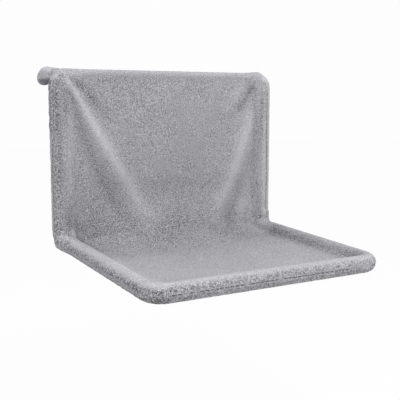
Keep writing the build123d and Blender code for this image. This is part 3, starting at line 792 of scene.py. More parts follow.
@dataclass(frozen=True)
class PileAndShadeForm:
    """How the pile of the plush lies, where it curls, and where light and shade are painted on it.

    A nap of 0 is smooth and 1 is curled; above 1 the curls are loose, with painted shade in the
    pockets between them. A tone of 1 is painted about a third lighter; tones are painted light and
    painted shade. Angles are the fall of Places, in degrees.
    """

    tuft: float = 0.0008
    curl_end: float = 28
    curl_fade: float = 40
    curl_further: tuple[float, float] = (34.0, -13.0)  # on the left upright, and on the left rail
    nap_underneath: float = 0.55
    nap_behind: float = 0.45
    nap_hook: float = 0.6
    nap_outboard: tuple[float, float] = (0.7, 0.3)
    loose_left: float = 1.35
    loose_corner: float = 0.30
    loose_top: float = 0.35
    flat_at_seam: float = 0.6
    # From here on: painted light and painted shade, lighter where light falls and on crests, darker
    # in hollows, creases, the sweep and under the hooks' crowns.
    fold_tone: float = 0.62
    calm_bulge: float = 0.35
    outboard_tone: tuple[float, float] = (0.45, 0.75)
    top_left_tone: float = 0.45
    right_rail_tone: float = -0.55
    right_rail_band: tuple[float, float] = (132, 34)
    right_edge_tone: float = -0.35
    left_rail_tone: float = 0.6
    left_rail_band: tuple[float, float] = (128, 30)
    left_rail_foot: float = -0.40
    left_seat_tone: float = 0.55
    hook_tone: float = 0.35
    hook_back_tone: float = 1.45
    notch_tone: float = -4.0
    tone_range: tuple[float, float] = (-1.9, 1.8)
    painted_shading_by_run: tuple[tuple[float, ...], tuple[float, ...]] = (
        (0.00, 0.10, 0.20, 0.25, 0.29, 0.32, 0.36, 0.40, 0.44, 0.50, 0.56),
        (-0.12, -0.02, -0.06, -0.42, -0.84, -0.74, -0.44, -0.18, -0.04, 0.12, -0.02),
    )
    strokes: tuple[PaintedStroke, ...] = PAINTED_STROKES

    def lighter_outboard(self, at: Places) -> np.ndarray:
        """The outer sides of the uprights, without the upper third of the left one."""
        return at.outboard & (~at.left | (at.high < 0.20))

    def nap(self, at: Places, near_seam: np.ndarray) -> np.ndarray:
        """How much the pile curls.

        Args:
            at: the places.
            near_seam: how near they are to the seam, from 0 to 1.

        Returns:
            The nap there.
        """
        further = np.where(at.left & (at.high > 0.02), self.curl_further[0], 0.0)
        further = np.where(at.left_rail, self.curl_further[1], further)
        curled = 1 - np.clip((at.fall - self.curl_end - further) / self.curl_fade, 0, 1)
        curled = curled * curled * (3 - 2 * curled)
        underneath = np.where(at.fall < -100, self.nap_underneath, 1.0)
        nap = np.where(at.front, curled, underneath) * np.clip(at.on_roll, 0, 1)
        nap = np.where(~at.front & (at.on_roll < 1), np.maximum(nap, self.nap_behind), nap)
        nap = np.where(at.on_hook, self.nap_hook, nap)
        to_corner = np.hypot(at.x + 0.2, at.behind + 0.34)
        corner = self.loose_corner * eased(to_corner, 0.060, 0.020)
        top = self.loose_top * eased(at.high, 0.18, 0.23) * eased(at.high, 0.294, 0.282)
        top = top * at.left_outside * ~at.on_hook
        heel = at.left_outside & (at.high < 0.035)
        nap = nap * np.where(at.left_rail | heel, self.loose_left, 1.0) * (1 + corner + top)
        nap = nap * (1 - self.flat_at_seam * np.exp(-((at.from_seam / 0.0030) ** 2)) * near_seam)
        outboard = nap * np.where(at.left, *self.nap_outboard)
        return np.where(self.lighter_outboard(at), outboard, nap)

    def tone(self, at: Places, bulge: np.ndarray, cloth: ClothForm) -> np.ndarray:
        """How much lighter or darker the plush is painted, as painted light and painted shade.

        Args:
            at: the places.
            bulge: how far each place stands out of its surroundings, painted lighter on ridges and
                darker in hollows.
            cloth: the cloth with its folds.

        Returns:
            The tone there.
        """
        shade = np.interp(at.run, *self.painted_shading_by_run) + self.fold_tone * cloth.shade(at.x, at.run)
        shade = np.where(at.on_cloth, shade, 0.0)
        strokes = sum(stroke.tone(at.x, at.high) for stroke in self.strokes)
        shade = shade + np.where(at.front & ~at.on_hook & (at.behind > -0.07), strokes, 0.0)
        # Painted light on the outer sides of the uprights.
        outboard = np.where(at.left, *self.outboard_tone)
        shade = shade + np.where(self.lighter_outboard(at), outboard, 0.0)
        # Painted light near the top of the left upright's outer side.
        top_left = self.top_left_tone * eased(at.high, 0.19, 0.23)
        shade = shade + np.where(at.outboard & at.left, top_left, 0.0)
        shade = shade + self.rail_shade(at)
        # Painted light on the seat beside the left rail.
        left_seat = eased(-at.x, 0.150, 0.182) * eased(at.run, 0.32, 0.42)
        shade = shade + self.left_seat_tone * left_seat * (at.on_cloth & (at.on_roll == 0))
        # The painted light and shade by bulge is weaker on the uprights and along the top.
        calm = at.upright | (at.high > 0.287)
        bulge = np.where(calm, bulge * self.calm_bulge, bulge)
        tone = np.where(at.on_hook, self.hook_shade(at), bulge + shade)
        return np.clip(tone, *self.tone_range)

    def rail_shade(self, at: Places) -> np.ndarray:
        """The painted light and shade of the two side rails, and painted shade at the seat's right
        edge.
        """
        right = (at.x > 0.18) & (at.behind < -0.05) & (at.on_roll > 0)
        shade = np.where(right, self.right_rail_tone * band(at.fall, *self.right_rail_band), 0.0)
        right_edge = at.on_cloth & (at.behind < -0.08)
        shade = shade + self.right_edge_tone * eased(at.x, 0.160, 0.185) * right_edge
        left = at.left_rail & (at.on_roll > 0)
        inner = self.left_rail_tone * band(at.fall, *self.left_rail_band)
        foot = self.left_rail_foot * eased(at.fall, 12, -25)
        return shade + np.where(left, inner + foot, 0.0)

    def hook_shade(self, at: Places) -> np.ndarray:
        """The painted light and shade of the hooks: painted lighter to the rear, with a painted
        shadow under the crown.
        """
        under = eased(at.high, 0.2965, 0.2925)
        notch = under * eased(at.behind, 0.034, 0.044) * (1 - 0.45 * eased(at.behind, 0.055, 0.075))
        back = self.hook_back_tone * eased(at.behind, 0.028, 0.048)
        return self.hook_tone + back + self.notch_tone * notch

    def tufts(self, at: Places, points: np.ndarray, nap: np.ndarray) -> np.ndarray:
        """How far the tufts stand out of the skin, in metres, at some points with a nap."""
        lumps = [noise.noise(Vector(p) * 125) + 0.6 * noise.noise(Vector(p) * 270) for p in points]
        pressed = np.where(at.fall < -35, 0.35, 1.0)
        return np.array(lumps) * self.tuft * (0.12 + 0.88 * nap) * pressed


@dataclass
class PlushCover:
    """The plush cover: rolls round the frame, the cloth between them, the hem and the hooks.

    It is made whole, so that every part runs softly into the next, and then cut along its seams.
    """

    stance: Stance = Stance()
    cloth: ClothForm = ClothForm()
    seam: SeamForm = SeamForm()
    pile: PileAndShadeForm = PileAndShadeForm()
    grid: float = 0.0025
    swell: float = 0.0006
    lobe_reach: float = 0.0127
    lobe_angle: float = math.radians(7.7)
    hem_r: float = 0.0092
    hem_y: float = 0.00025
    crown_start: float = 0.27504
    crown_turn: float = math.radians(84.8)
    crown_run: float = 0.0689
    lip_turn: float = math.radians(54)
    sleeve_r: float = 0.013
    crown_r: float = 0.0124
    sleeve_slack: tuple[float, float] = (-0.0014, 0.0025)
    shoulder_rise: tuple[float, float] = (0.0026, 0.0038)
    heel_y: float = -0.0096
    heel_z: float = 0.006
    heel_reach: tuple[float, float] = (1.0, 0.72)
    corner_fold: tuple[tuple[float, float, float], ...] = (
        (-0.2128, -0.0104, 0.3000),
        (-0.2076, -0.0110, 0.2955),
        (-0.1998, -0.0112, 0.2825),
        (-0.1902, -0.0105, 0.2689),
        (-0.1822, -0.0100, 0.2556),
    )
    corner_fold_r: float = 0.0062
    corner_fill: tuple[tuple[float, float, float, float], ...] = (
        (-0.2025, -0.0135, 0.0135, 0.0088),
        (-0.2025, -0.0100, 0.0230, 0.0080),
        (-0.2025, -0.0230, 0.0095, 0.0078),
    )
    skin_rounds: int = 5
    crease_rounds: int = 11
    near_rounds: int = 24
    far_rounds: int = 110
    tight_bulge: float = 0.0013
    wide_bulge: float = 0.0035
    roll_reach: tuple[float, float] = (0.0225, 0.0185)  # outboard and inboard of a roll's centre
    hook_reach: float = 0.004
    hook_start: float = 0.0035
    line: list[tuple[Vector, Vector, Vector, float]] = field(default_factory=list)
    crown_line: list[Vector] = field(default_factory=list)

    def lobe_shift(self, side: int) -> Vector:
        """From an upright's centre to the centre of its outboard lobe."""
        turn = self.lobe_angle
        return Vector((side * math.cos(turn), -math.sin(turn), 0)) * self.lobe_reach

    def grow_rim(self, bm: bmesh.types.BMesh) -> None:
        """Grows the roll that follows the frame, from one upright round to the other."""
        stance = self.stance
        start = stance.place(-stance.tube_x, 0, stance.top - stance.roll_r)
        down, up, front = Vector((0, 0, -1)), stance.seat_up, Vector((0, -1, 0))
        roll = Roll(bm, start, down, front, stance.roll_r + self.swell)
        upright = stance.top - stance.roll_r - stance.corner_run
        roll.run(upright)
        roll.turn(stance.corner_turn, front, stance.bend_r)
        roll.run(stance.rail_run)
        roll.turn(math.pi / 2, Vector((1, 0, 0)), stance.bend_r)
        roll.run(2 * (stance.tube_x - stance.bend_r))
        roll.turn(math.pi / 2, -stance.rail_way, stance.bend_r)
        roll.run(stance.rail_run)
        roll.turn(stance.corner_turn, up, stance.bend_r)
        roll.run(upright)
        roll.close()
        self.line = roll.line

    def grow_lobe(self, bm: bmesh.types.BMesh, side: int) -> None:
        """Adds the filled lobe outboard of an upright, with its round top corner."""
        stance = self.stance
        shift = self.lobe_shift(side)
        high = stance.top - stance.roll_r - self.lobe_reach
        centres = [Vector((0, 0, stance.corner_run)), Vector((0, 0, stance.corner_run)) + shift]
        for step in range(7):
            angle = math.pi / 2 * step / 6
            rise = high + self.lobe_reach * math.sin(angle)
            centres.append(shift * math.cos(angle) + Vector((0, 0, rise)))
        base = stance.place(side * stance.tube_x, 0, 0)
        radius = stance.roll_r + self.swell
        wrapped(bm, [(base + c, radius) for c in centres])
        heel = shift * self.heel_reach[0 if side < 0 else 1]
        low = base + Vector((0, self.heel_y, stance.slope * self.heel_y + self.heel_z)) + heel
        rail = base + Vector((0, -0.036, -0.036 * stance.slope))
        wrapped(bm, [(base + centres[1] + Vector((0, 0, 0.012)), radius), (low, radius)])
        wrapped(bm, [(low, radius), (rail, radius)])

    def grow_shoulder(self, bm: bmesh.types.BMesh, side: int) -> None:
        """Fills the corner where a hook's sleeve, the hem and the upright's top run together."""
        stance = self.stance
        rise = self.shoulder_rise[0 if side < 0 else 1]
        base = stance.place(side * stance.tube_x, 0, 0)
        top = stance.top - stance.roll_r
        shift = self.lobe_shift(side)
        balls = [
            (base + Vector((0, 0, top - 0.012)), stance.roll_r + self.swell),
            (base + Vector((0, 0, top + rise)), stance.roll_r),
            (base + Vector((-side * 0.034, 0, self.cloth.hem_level)), self.hem_r + self.swell / 2),
            (base + Vector((0, 0.014, top + rise * 0.5)), self.sleeve_r),
            (base + shift * 0.6 + Vector((0, 0, top - 0.006)), stance.roll_r - 0.002),
        ]
        wrapped(bm, balls)
        slack = self.sleeve_slack[0 if side < 0 else 1]
        crown = base + Vector((0, 0.022, self.crown_start + stance.bend_r - slack))
        lobe = base + shift * 0.75 + Vector((0, 0.002, top - 0.009))
        over = base + Vector((0, 0, top + rise))
        wrapped(bm, [(crown, self.crown_r), (lobe, stance.roll_r - 0.0015), (over, self.sleeve_r)])

    def grow_hook(self, bm: bmesh.types.BMesh, side: int) -> None:
        """Adds the sleeve of a hook, over the radiator and down behind it."""
        stance = self.stance
        rear = Vector((0, 1, 0))
        slack = self.sleeve_slack[0 if side < 0 else 1]
        start = stance.place(side * stance.tube_x, 0, self.crown_start - 0.02 - slack)
        roll = Roll(bm, start, Vector((0, 0, 1)), rear, self.crown_r)
        roll.run(0.02)
        roll.turn(self.crown_turn, rear, stance.bend_r)
        roll.run(self.crown_run)
        roll.turn(self.lip_turn, Vector((0, 0, -1)), stance.bend_r)
        roll.close()
        ball(bm, roll.here, self.sleeve_r + self.swell / 2)
        if side < 0:
            ball(bm, roll.here + Vector((0, 0.0005, -0.0025)), self.sleeve_r)
        self.crown_line += [p for p, _, _, _ in roll.line]

    def grow_corner_fold(self, bm: bmesh.types.BMesh) -> None:
        """Adds the left fold's start over the upright, and the full plush at its foot."""
        balls = [(self.stance.place(*c), self.corner_fold_r) for c in self.corner_fold]
        for pair in zip(balls, balls[1:]):
            wrapped(bm, pair)
        wrapped(bm, [(self.stance.place(*fill[:3]), fill[3]) for fill in self.corner_fill])

    def grow_hem(self, bm: bmesh.types.BMesh) -> None:
        """Adds the rolled top hem."""
        stance = self.stance
        start = stance.place(-stance.tube_x, self.hem_y, self.cloth.hem_level)
        roll = Roll(bm, start, Vector((1, 0, 0)), Vector((0, 0, 1)), self.hem_r + self.swell / 2)
        roll.run(2 * stance.tube_x)
        roll.close()

    def grow_cloth(self, bm: bmesh.types.BMesh) -> None:
        """Adds the cloth between the rolls as one closed body with its two faces."""
        part = bmesh.new()
        bmesh.ops.create_grid(part, x_segments=130, y_segments=190, size=1)
        made = bmesh.ops.extrude_face_region(part, geom=part.faces[:])["geom"]
        rear = {g for g in made if isinstance(g, bmesh.types.BMVert)}
        flat = np.array([vert.co[:2] for vert in part.verts])
        across, down = flat[:, 0] * self.cloth.reach_x, (flat[:, 1] + 1) / 2 * self.cloth.whole_run
        lifts = self.cloth.lift(across, down)
        for vert, x, run, lift in zip(part.verts, across, down, lifts):
            vert.co = self.cloth.rear(x, run) if vert in rear else self.cloth.front(x, run, lift)
        moved_into(bm, part)

    def one_skin(self) -> bpy.types.Mesh:
        """Grows every part of the cover and returns the one skin round them all."""
        bm = bmesh.new()
        self.grow_rim(bm)
        self.grow_hem(bm)
        self.grow_cloth(bm)
        self.grow_corner_fold(bm)
        for side in (-1, 1):
            self.grow_lobe(bm, side)
            self.grow_hook(bm, side)
            self.grow_shoulder(bm, side)
        form = placed(bm, "cover_form", smooth=False)
        remesh = form.modifiers.new("skin", "REMESH")
        remesh.mode = "VOXEL"
        remesh.voxel_size = self.grid
        depsgraph = bpy.context.evaluated_depsgraph_get()
        skin = bpy.data.meshes.new_from_object(form.evaluated_get(depsgraph))
        bpy.data.objects.remove(form)
        return skin

    def seam_frame(self, index: int) -> tuple[Vector, float]:
        """The shift from a roll's centre to its outboard lobe, and the seam's angle, at a point."""
        stance = self.stance
        centre, _, _, along = self.line[index]
        whole = self.line[-1][3]
        upright = stance.top - stance.roll_r - stance.corner_run
        turn = stance.corner_turn * stance.bend_r
        left = along < whole / 2
        edge = along if left else whole - along
        on_upright = eased(edge, upright + turn + 0.014, upright + turn * 0.5)
        shift = self.lobe_shift(-1 if left else 1) * on_upright
        over = centre.z - stance.corner_z - (stance.top - stance.roll_r - self.lobe_reach)
        if over > 0:
            shift = shift * math.sqrt(max(0.0, 1 - (over / self.lobe_reach) ** 2))
        on_side = self.seam.right_upright
        if left:
            rise = eased(centre.z - stance.corner_z, 0.12, 0.25)
            on_side = self.seam.left_low + (self.seam.left_top - self.seam.left_low) * rise
        corner = upright + turn + stance.rail_run
        on_front = eased(edge, corner - 0.010, corner + 0.040)
        rail = self.seam.rail + (self.seam.front - self.seam.rail) * on_front
        return shift, rail + (on_side - rail) * on_upright

    def rim_frame(self, points: np.ndarray) -> dict[str, np.ndarray]:
        """Places points against the rolls of the frame.

        Args:
            points: rows of coordinates.

        Returns:
            For each point: out and top, its offsets from the roll's centre; angle, from the roll's
            outer side towards its top; seam, the angle of the seam there; and along, the length of
            the roll up to it.
        """
        tree = tree_of([centre for centre, _, _, _ in self.line])
        near = np.array([tree.find(p)[1] for p in points])
        centres, outs, tops, alongs, seams = [], [], [], [], []
        for i, (centre, out, top, along) in enumerate(self.line):
            shift, angle = self.seam_frame(i)
            seams.append(angle)
            centres.append(centre + shift)
            outs.append(out)
            tops.append(top)
            alongs.append(along)
        off = points - np.array(centres)[near]
        out = (off * np.array(outs)[near]).sum(1)
        top = (off * np.array(tops)[near]).sum(1)
        return {
            "out": out,
            "top": top,
            "angle": np.arctan2(top, out),
            "seam": np.array(seams)[near],
            "along": np.array(alongs)[near],
        }

    def smooth(
        self, points: np.ndarray, edges: np.ndarray, weight: np.ndarray, rounds: int
    ) -> np.ndarray:
        """Lets points settle towards their neighbours.

        Args:
            points: rows of coordinates.
            edges: pairs of neighbours.
            weight: how readily each point moves, from 0 to 1.
            rounds: how often.

        Returns:
            The points, moved.
        """
        count = np.bincount(edges.ravel(), minlength=len(points)).clip(1)[:, None]
        for _ in range(rounds):
            total = np.zeros_like(points)
            for axis in range(3):
                total[:, axis] = np.bincount(edges[:, 0], points[edges[:, 1], axis], len(points))
                total[:, axis] += np.bincount(edges[:, 1], points[edges[:, 0], axis], len(points))
            points = points + (total / count - points) * 0.5 * weight[:, None]
        return points

    def crease_weight(self, points: np.ndarray) -> np.ndarray:
        """How near each point is to the crease where the cloth meets a roll, from 0 to 1."""
        stance = self.stance
        inner: list[Vector] = []
        for centre, out, top, _ in self.line[::2]:
            inner.append(centre - out * stance.roll_r * 0.95 + top * 0.003)
        for step in range(-4, 5):
            for side in (-1, 1):
                shoulder = stance.place(side * stance.tube_x, 0.014, 0.300)
                inner.append(shoulder + Vector((step * 0.003, 0, 0)))
        tree = tree_of(inner)
        far = np.array([tree.find(p)[2] for p in points])
        share = np.clip((0.020 - far) / 0.011, 0, 1)
        return share * share * (3 - 2 * share)

    def build(self) -> dict[str, bpy.types.Object]:
        """Makes the skin, softens it, sinks its seam and cuts it into its pieces.

        Returns:
            The pieces by name.
        """
        skin = self.one_skin()
        points = rows_of(skin.vertices, "co")
        everywhere = np.ones(len(points))
        edges = np.empty(len(skin.edges) * 2, int)
        skin.edges.foreach_get("vertices", edges)
        edges = edges.reshape(-1, 2)
        points = self.smooth(points, edges, everywhere, self.skin_rounds)
        points = self.smooth(points, edges, self.crease_weight(points), self.crease_rounds)
        skin.vertices.foreach_set("co", points.ravel())
        skin.update()
        rim = self.rim_frame(points)
        normals = rows_of(skin.vertices, "normal")
        near = self.smooth(points, edges, everywhere, self.near_rounds)
        far = self.smooth(near, edges, everywhere, self.far_rounds)
        tight = ((points - near) * normals).sum(1) / self.tight_bulge
        wide = ((near - far) * normals).sum(1) / self.wide_bulge
        # How far each point stands out; it is painted lighter on ridges and darker in hollows and
        # creases.
        bulge = np.clip(tight, -1.2, 1.2) * 0.55 + np.clip(wide, -1, 1) * 0.35
        dressed = self.dress(points, normals, rim, bulge)
        skin.vertices.foreach_set("co", dressed["points"].ravel())
        skin.update()
        # tone carries the painted light and painted shade.
        for name in ("nap", "tone", "seam", "seam_near", "along"):
            layer = skin.attributes.new(name, "FLOAT", "POINT")
            layer.data.foreach_set("value", dressed[name].astype(np.float32))
        return self.cut(skin, dressed["piece"])

    def places(self, points: np.ndarray, normals: np.ndarray, rim: dict[str, np.ndarray]) -> Places:
        """Says where on the cover each point is.

        Args:
            points: rows of coordinates.
            normals: the skin's directions there.
            rim: what rim_frame says of the points.

        Returns:
            The points' places.
        """
        stance = self.stance
        spread = np.hypot(rim["out"], rim["top"])
        reach = np.where(rim["out"] > 0, self.roll_reach[0], self.roll_reach[1])
        on_roll = np.clip((reach - spread) / 0.003, 0, 1)
        crown = tree_of(self.crown_line)
        to_crown = np.array([crown.find(p)[2] for p in points])
        on_hook = (to_crown < self.sleeve_r + self.hook_reach) & (points[:, 1] > self.hook_start)
        from_seam = rim["angle"] - rim["seam"]
        from_seam = (from_seam + math.pi) % (2 * math.pi) - math.pi
        from_seam = from_seam * stance.roll_r
        pivot = np.array(stance.place(0, -self.cloth.sweep_r, self.cloth.sweep_r))
        to_cat = pivot - points
        to_cat[:, 0] = 0
        on_back = points[:, 2] > pivot[2]
        to_cat[on_back] = (0, -1, 0)
        on_seat = (points[:, 1] < pivot[1]) & ~on_back
        to_cat[on_seat] = (0, 0, 1)
        facing = (normals * to_cat).sum(1) > 0
        inboard = rim["out"] < -0.004
        high, behind = points[:, 2] - stance.corner_z, points[:, 1] - stance.corner_y
        return Places(
            x=points[:, 0],
            high=high,
            behind=behind,
            run=self.cloth.run_at(behind, high),
            out=rim["out"],
            fall=np.degrees(rim["angle"]),
            from_seam=from_seam,
            on_roll=on_roll,
            on_hook=on_hook,
            front=np.where(inboard | (on_roll == 0), facing, from_seam > 0),
        )

    def dress(
        self, points: np.ndarray, normals: np.ndarray, rim: dict[str, np.ndarray], bulge: np.ndarray
    ) -> dict[str, np.ndarray]:
        """Works out the pile, the painted light and shade, the seam and the piece of every point,
        and moves the pile's tufts.

        Args:
            points: rows of coordinates.
            normals: the skin's directions there.
            rim: what rim_frame says of the points.
            bulge: how far each point stands out of its surroundings, about -1 to 1.

        Returns:
            The moved points, the values that the plush reads, and each point's piece.
        """
        at = self.places(points, normals, rim)
        near, seen = self.seam.nearness(at)
        nap = self.pile.nap(at, near) * np.where(at.on_hook, 1.0, self.seam.calm_above(at))
        tone = self.pile.tone(at, bulge, self.cloth)
        sleeve = np.where(at.left, 2, 3)
        groove = np.exp(-((at.from_seam / self.seam.groove_width) ** 2)) * seen
        rise = self.pile.tufts(at, points, nap) - groove * self.seam.groove
        return {
            "points": points + normals * rise[:, None],
            "nap": nap,
            "tone": tone,
            "seam": np.clip(at.from_seam, -0.02, 0.02),
            "seam_near": seen * np.where(at.upright & ~at.left, self.seam.bold_right, 1.0),
            "along": rim["along"],
            "piece": np.where(at.on_hook, sleeve, np.where(at.front, 0, 1)),
        }

    def cut(self, skin: bpy.types.Mesh, piece: np.ndarray) -> dict[str, bpy.types.Object]:
        """Cuts the skin into its sewn pieces, which keep the whole skin's shading.

        Args:
            skin: the whole cover.
            piece: the number of each point's piece.

        Returns:
            The pieces by name.
        """
        names = ("plush_front_panel", "plush_back_panel", "hook_sleeve_left", "hook_sleeve_right")
        normals = [v.normal.copy() for v in skin.vertices]
        made = {}
        for number, name in enumerate(names):
            bm = bmesh.new()
            bm.from_mesh(skin)
            bm.verts.ensure_lookup_table()
            mark = bm.verts.layers.int.new("whole")
            for vert in bm.verts:
                vert[mark] = vert.index
            drop = [
                f for f in bm.faces
                if sorted(int(piece[v.index]) for v in f.verts)[len(f.verts) // 2] != number
            ]
            bmesh.ops.delete(bm, geom=drop, context="FACES")
            order = [vert[mark] for vert in bm.verts]
            made[name] = placed(bm, name)
            mesh = made[name].data
            mesh.attributes.remove(mesh.attributes["whole"])
            mesh.normals_split_custom_set_from_vertices([normals[i] for i in order])
        return made


@dataclass
class SeamThread:
    """The row of dark stitches that shows in the cover's seam."""

    cover: PlushCover
    step: float = 0.0088
    stitch: float = 0.0056
    radius: float = 0.00048
    sunk: float = 0.0010
    left_end: float = 0.296
    right_end: float = 0.272
    hidden_rail: tuple[float, float] = (-0.33, -0.02)  # behind the seat's rear corner
    lost: float = -0.35

    def seam_place(self, place: float) -> tuple[Vector, Vector] | None:
        """A point on the seam and the way outwards there, or nothing where the pile hides it."""
        cover, stance = self.cover, self.cover.stance
        line = cover.line
        index = min(range(len(line)), key=lambda i: abs(line[i][3] - place))
        centre, out, top, _ = line[index]
        shift, angle = cover.seam_frame(index)
        end = self.left_end if centre.x < 0 else self.right_end
        front, rear = self.hidden_rail
        on_rail = centre.x < -0.2 and front < centre.y - stance.corner_y < rear
        if centre.z - stance.corner_z > end or on_rail:
            return None
        way = out * math.cos(angle) + top * math.sin(angle)
        return centre + shift + way * (stance.roll_r + cover.swell - self.sunk), way

    def build(self) -> bpy.types.Object:
        """Sews the stitches, each a short round bar half sunk in the groove."""
        bm = bmesh.new()
        count = int(self.cover.line[-1][3] / self.step)
        for i in range(count):
            ends = self.seam_place(i * self.step), self.seam_place(i * self.step + self.stitch)
            if None in ends or noise.noise(ends[0][0] * 55) < self.lost:
                continue
            start, end = ends[0][0], ends[1][0]
            way = end - start
            aim = Vector((0, 0, 1)).rotation_difference(way).to_matrix().to_4x4()
            made = bmesh.ops.create_cone(
                bm, cap_ends=True, segments=8, radius1=self.radius, radius2=self.radius,
                depth=way.length, matrix=Matrix.Translation((start + end) / 2) @ aim,
            )
            rims = [e for v in made["verts"] for e in v.link_edges if e.calc_face_angle(0) > 1.2]
            bmesh.ops.bevel(
                bm, geom=list(dict.fromkeys(rims)), offset=self.radius * 0.6, affect="EDGES",
                segments=2, profile=0.5, material=-1,
            )
        return placed(bm, "seam_thread")


@dataclass
class ClosureFlap:
    """The flap behind the hem, which closes the cover over the rear panel."""

    stance: Stance = Stance()
    half: float = 0.189
    face: float = 0.0052
    thickness: float = 0.0033
    level: float = 0.29975
    length: float = 0.038

    def build(self) -> bpy.types.Object:
        """Makes the flap: a strip with a round lower edge that hangs a little unevenly."""
        bm = bmesh.new()
        bmesh.ops.create_grid(bm, x_segments=110, y_segments=12, size=1)
        half_thick = self.thickness / 2
        for vert in bm.verts:
            x = vert.co.x * self.half
            down = (1 - vert.co.y) / 2
            wave = noise.noise(Vector((x * 16, 0.0, 8.1))) * 0.0012 * down
            y = self.face + half_thick + wave
            z = self.level - down * (self.length + wave)
            vert.co = self.stance.place(x, y, z)
        bmesh.ops.solidify(bm, geom=bm.faces[:], thickness=half_thick)
        bmesh.ops.recalc_face_normals(bm, faces=bm.faces[:])
        rims = [e for e in bm.edges if e.is_manifold and e.calc_face_angle(0) > 1.0]
        bmesh.ops.bevel(
            bm, geom=rims, offset=half_thick * 0.45, affect="EDGES",
            segments=2, profile=0.5, material=-1,
        )
        flap = placed(bm, "closure_flap")
        mesh = flap.data
        for name, value in (("nap", 0.45), ("tone", 0.0)):
            layer = mesh.attributes.new(name, "FLOAT", "POINT")
            layer.data.foreach_set("value", np.full(len(mesh.vertices), value, np.float32))
        return flap


class Graph:
    """A material's nodes, made and linked by short calls."""

    def __init__(self, name: str) -> None:
        """Starts a material with its shader and its output.

        Args:
            name: of the material.
        """
        self.material = bpy.data.materials.new(name)
        self.material.use_nodes = True
        self.tree = self.material.node_tree
        self.tree.nodes.clear()
        self.output = self.tree.nodes.new("ShaderNodeOutputMaterial")
        self.shader = self.tree.nodes.new("ShaderNodeBsdfPrincipled")
        self.tree.links.new(self.shader.outputs[0], self.output.inputs[0])
        self.place = self.tree.nodes.new("ShaderNodeTexCoord").outputs["Object"]

    def link(self, value: object, socket: bpy.types.NodeSocket) -> None:
        """Links a socket or sets a value."""
        if isinstance(value, bpy.types.NodeSocket):
            self.tree.links.new(value, socket)
        else:
            socket.default_value = value

    def maths(self, operation: str, *values: object, clamp: bool = False) -> bpy.types.NodeSocket:
        """A Math node's result."""
        node = self.tree.nodes.new("ShaderNodeMath")
        node.operation = operation
        node.use_clamp = clamp
        for value, socket in zip(values, node.inputs):
            self.link(value, socket)
        return node.outputs[0]

    def vectors(self, operation: str, first: object, second: object) -> bpy.types.NodeSocket:
        """A Vector Math node's result; SCALE takes a number as its second value."""
        node = self.tree.nodes.new("ShaderNodeVectorMath")
        node.operation = operation
        self.link(first, node.inputs[0])
        self.link(second, node.inputs["Scale" if operation == "SCALE" else 1])
        return node.outputs[0]

    def noise_node(
        self, scale: float, detail: float = 2.0, roughness: float = 0.5
    ) -> bpy.types.Node:
        """A noise over the piece."""
        node = self.tree.nodes.new("ShaderNodeTexNoise")
        self.link(self.place, node.inputs["Vector"])
        node.inputs["Scale"].default_value = scale
        node.inputs["Detail"].default_value = detail
        node.inputs["Roughness"].default_value = roughness
        return node

    def grain(
        self, scale: float, detail: float = 2.0, roughness: float = 0.5
    ) -> bpy.types.NodeSocket:
        """The value of a noise, about 0.5 in the middle of its range."""
        return self.noise_node(scale, detail, roughness).outputs["Fac"]

    def cells(
        self, scale: float, place: bpy.types.NodeSocket, smooth: float
    ) -> bpy.types.NodeSocket:
        """Rounded cells: nought at their middles, about 0.6 between them."""
        node = self.tree.nodes.new("ShaderNodeTexVoronoi")
        node.feature = "SMOOTH_F1"
        self.link(place, node.inputs["Vector"])
        node.inputs["Scale"].default_value = scale
        node.inputs["Smoothness"].default_value = smooth
        return node.outputs["Distance"]

    def stirred(self, scale: float, amount: float) -> bpy.types.NodeSocket:
        """The piece's coordinates, stirred by a noise."""
        swirl = self.noise_node(scale).outputs["Color"]
        step = self.vectors("SUBTRACT", swirl, (0.5, 0.5, 0.5))
        return self.vectors("ADD", self.place, self.vectors("SCALE", step, amount))

    def value_of(self, name: str) -> bpy.types.NodeSocket:
        """A value that the piece's mesh carries."""
        node = self.tree.nodes.new("ShaderNodeAttribute")
        node.attribute_name = name
        return node.outputs["Fac"]

    def between(self, share: object, low: object, high: object) -> bpy.types.NodeSocket:
        """A colour between two."""
        node = self.tree.nodes.new("ShaderNodeMix")
        node.data_type = "RGBA"
        self.link(share, node.inputs[0])
        self.link(low, node.inputs[6])
        self.link(high, node.inputs[7])
        return node.outputs[2]

    def scaled(self, colour: tuple[float, float, float, float], by: object) -> bpy.types.NodeSocket:
        """A colour made lighter or darker by a factor."""
        return self.vectors("SCALE", colour[:3], by)

    def relief(self, height: bpy.types.NodeSocket, depth: float, strength: float = 1.0) -> None:
        """Gives the shader a bump of a real depth."""
        node = self.tree.nodes.new("ShaderNodeBump")
        node.inputs["Strength"].default_value = strength
        node.inputs["Distance"].default_value = depth
        self.link(height, node.inputs["Height"])
        self.link(node.outputs[0], self.shader.inputs["Normal"])


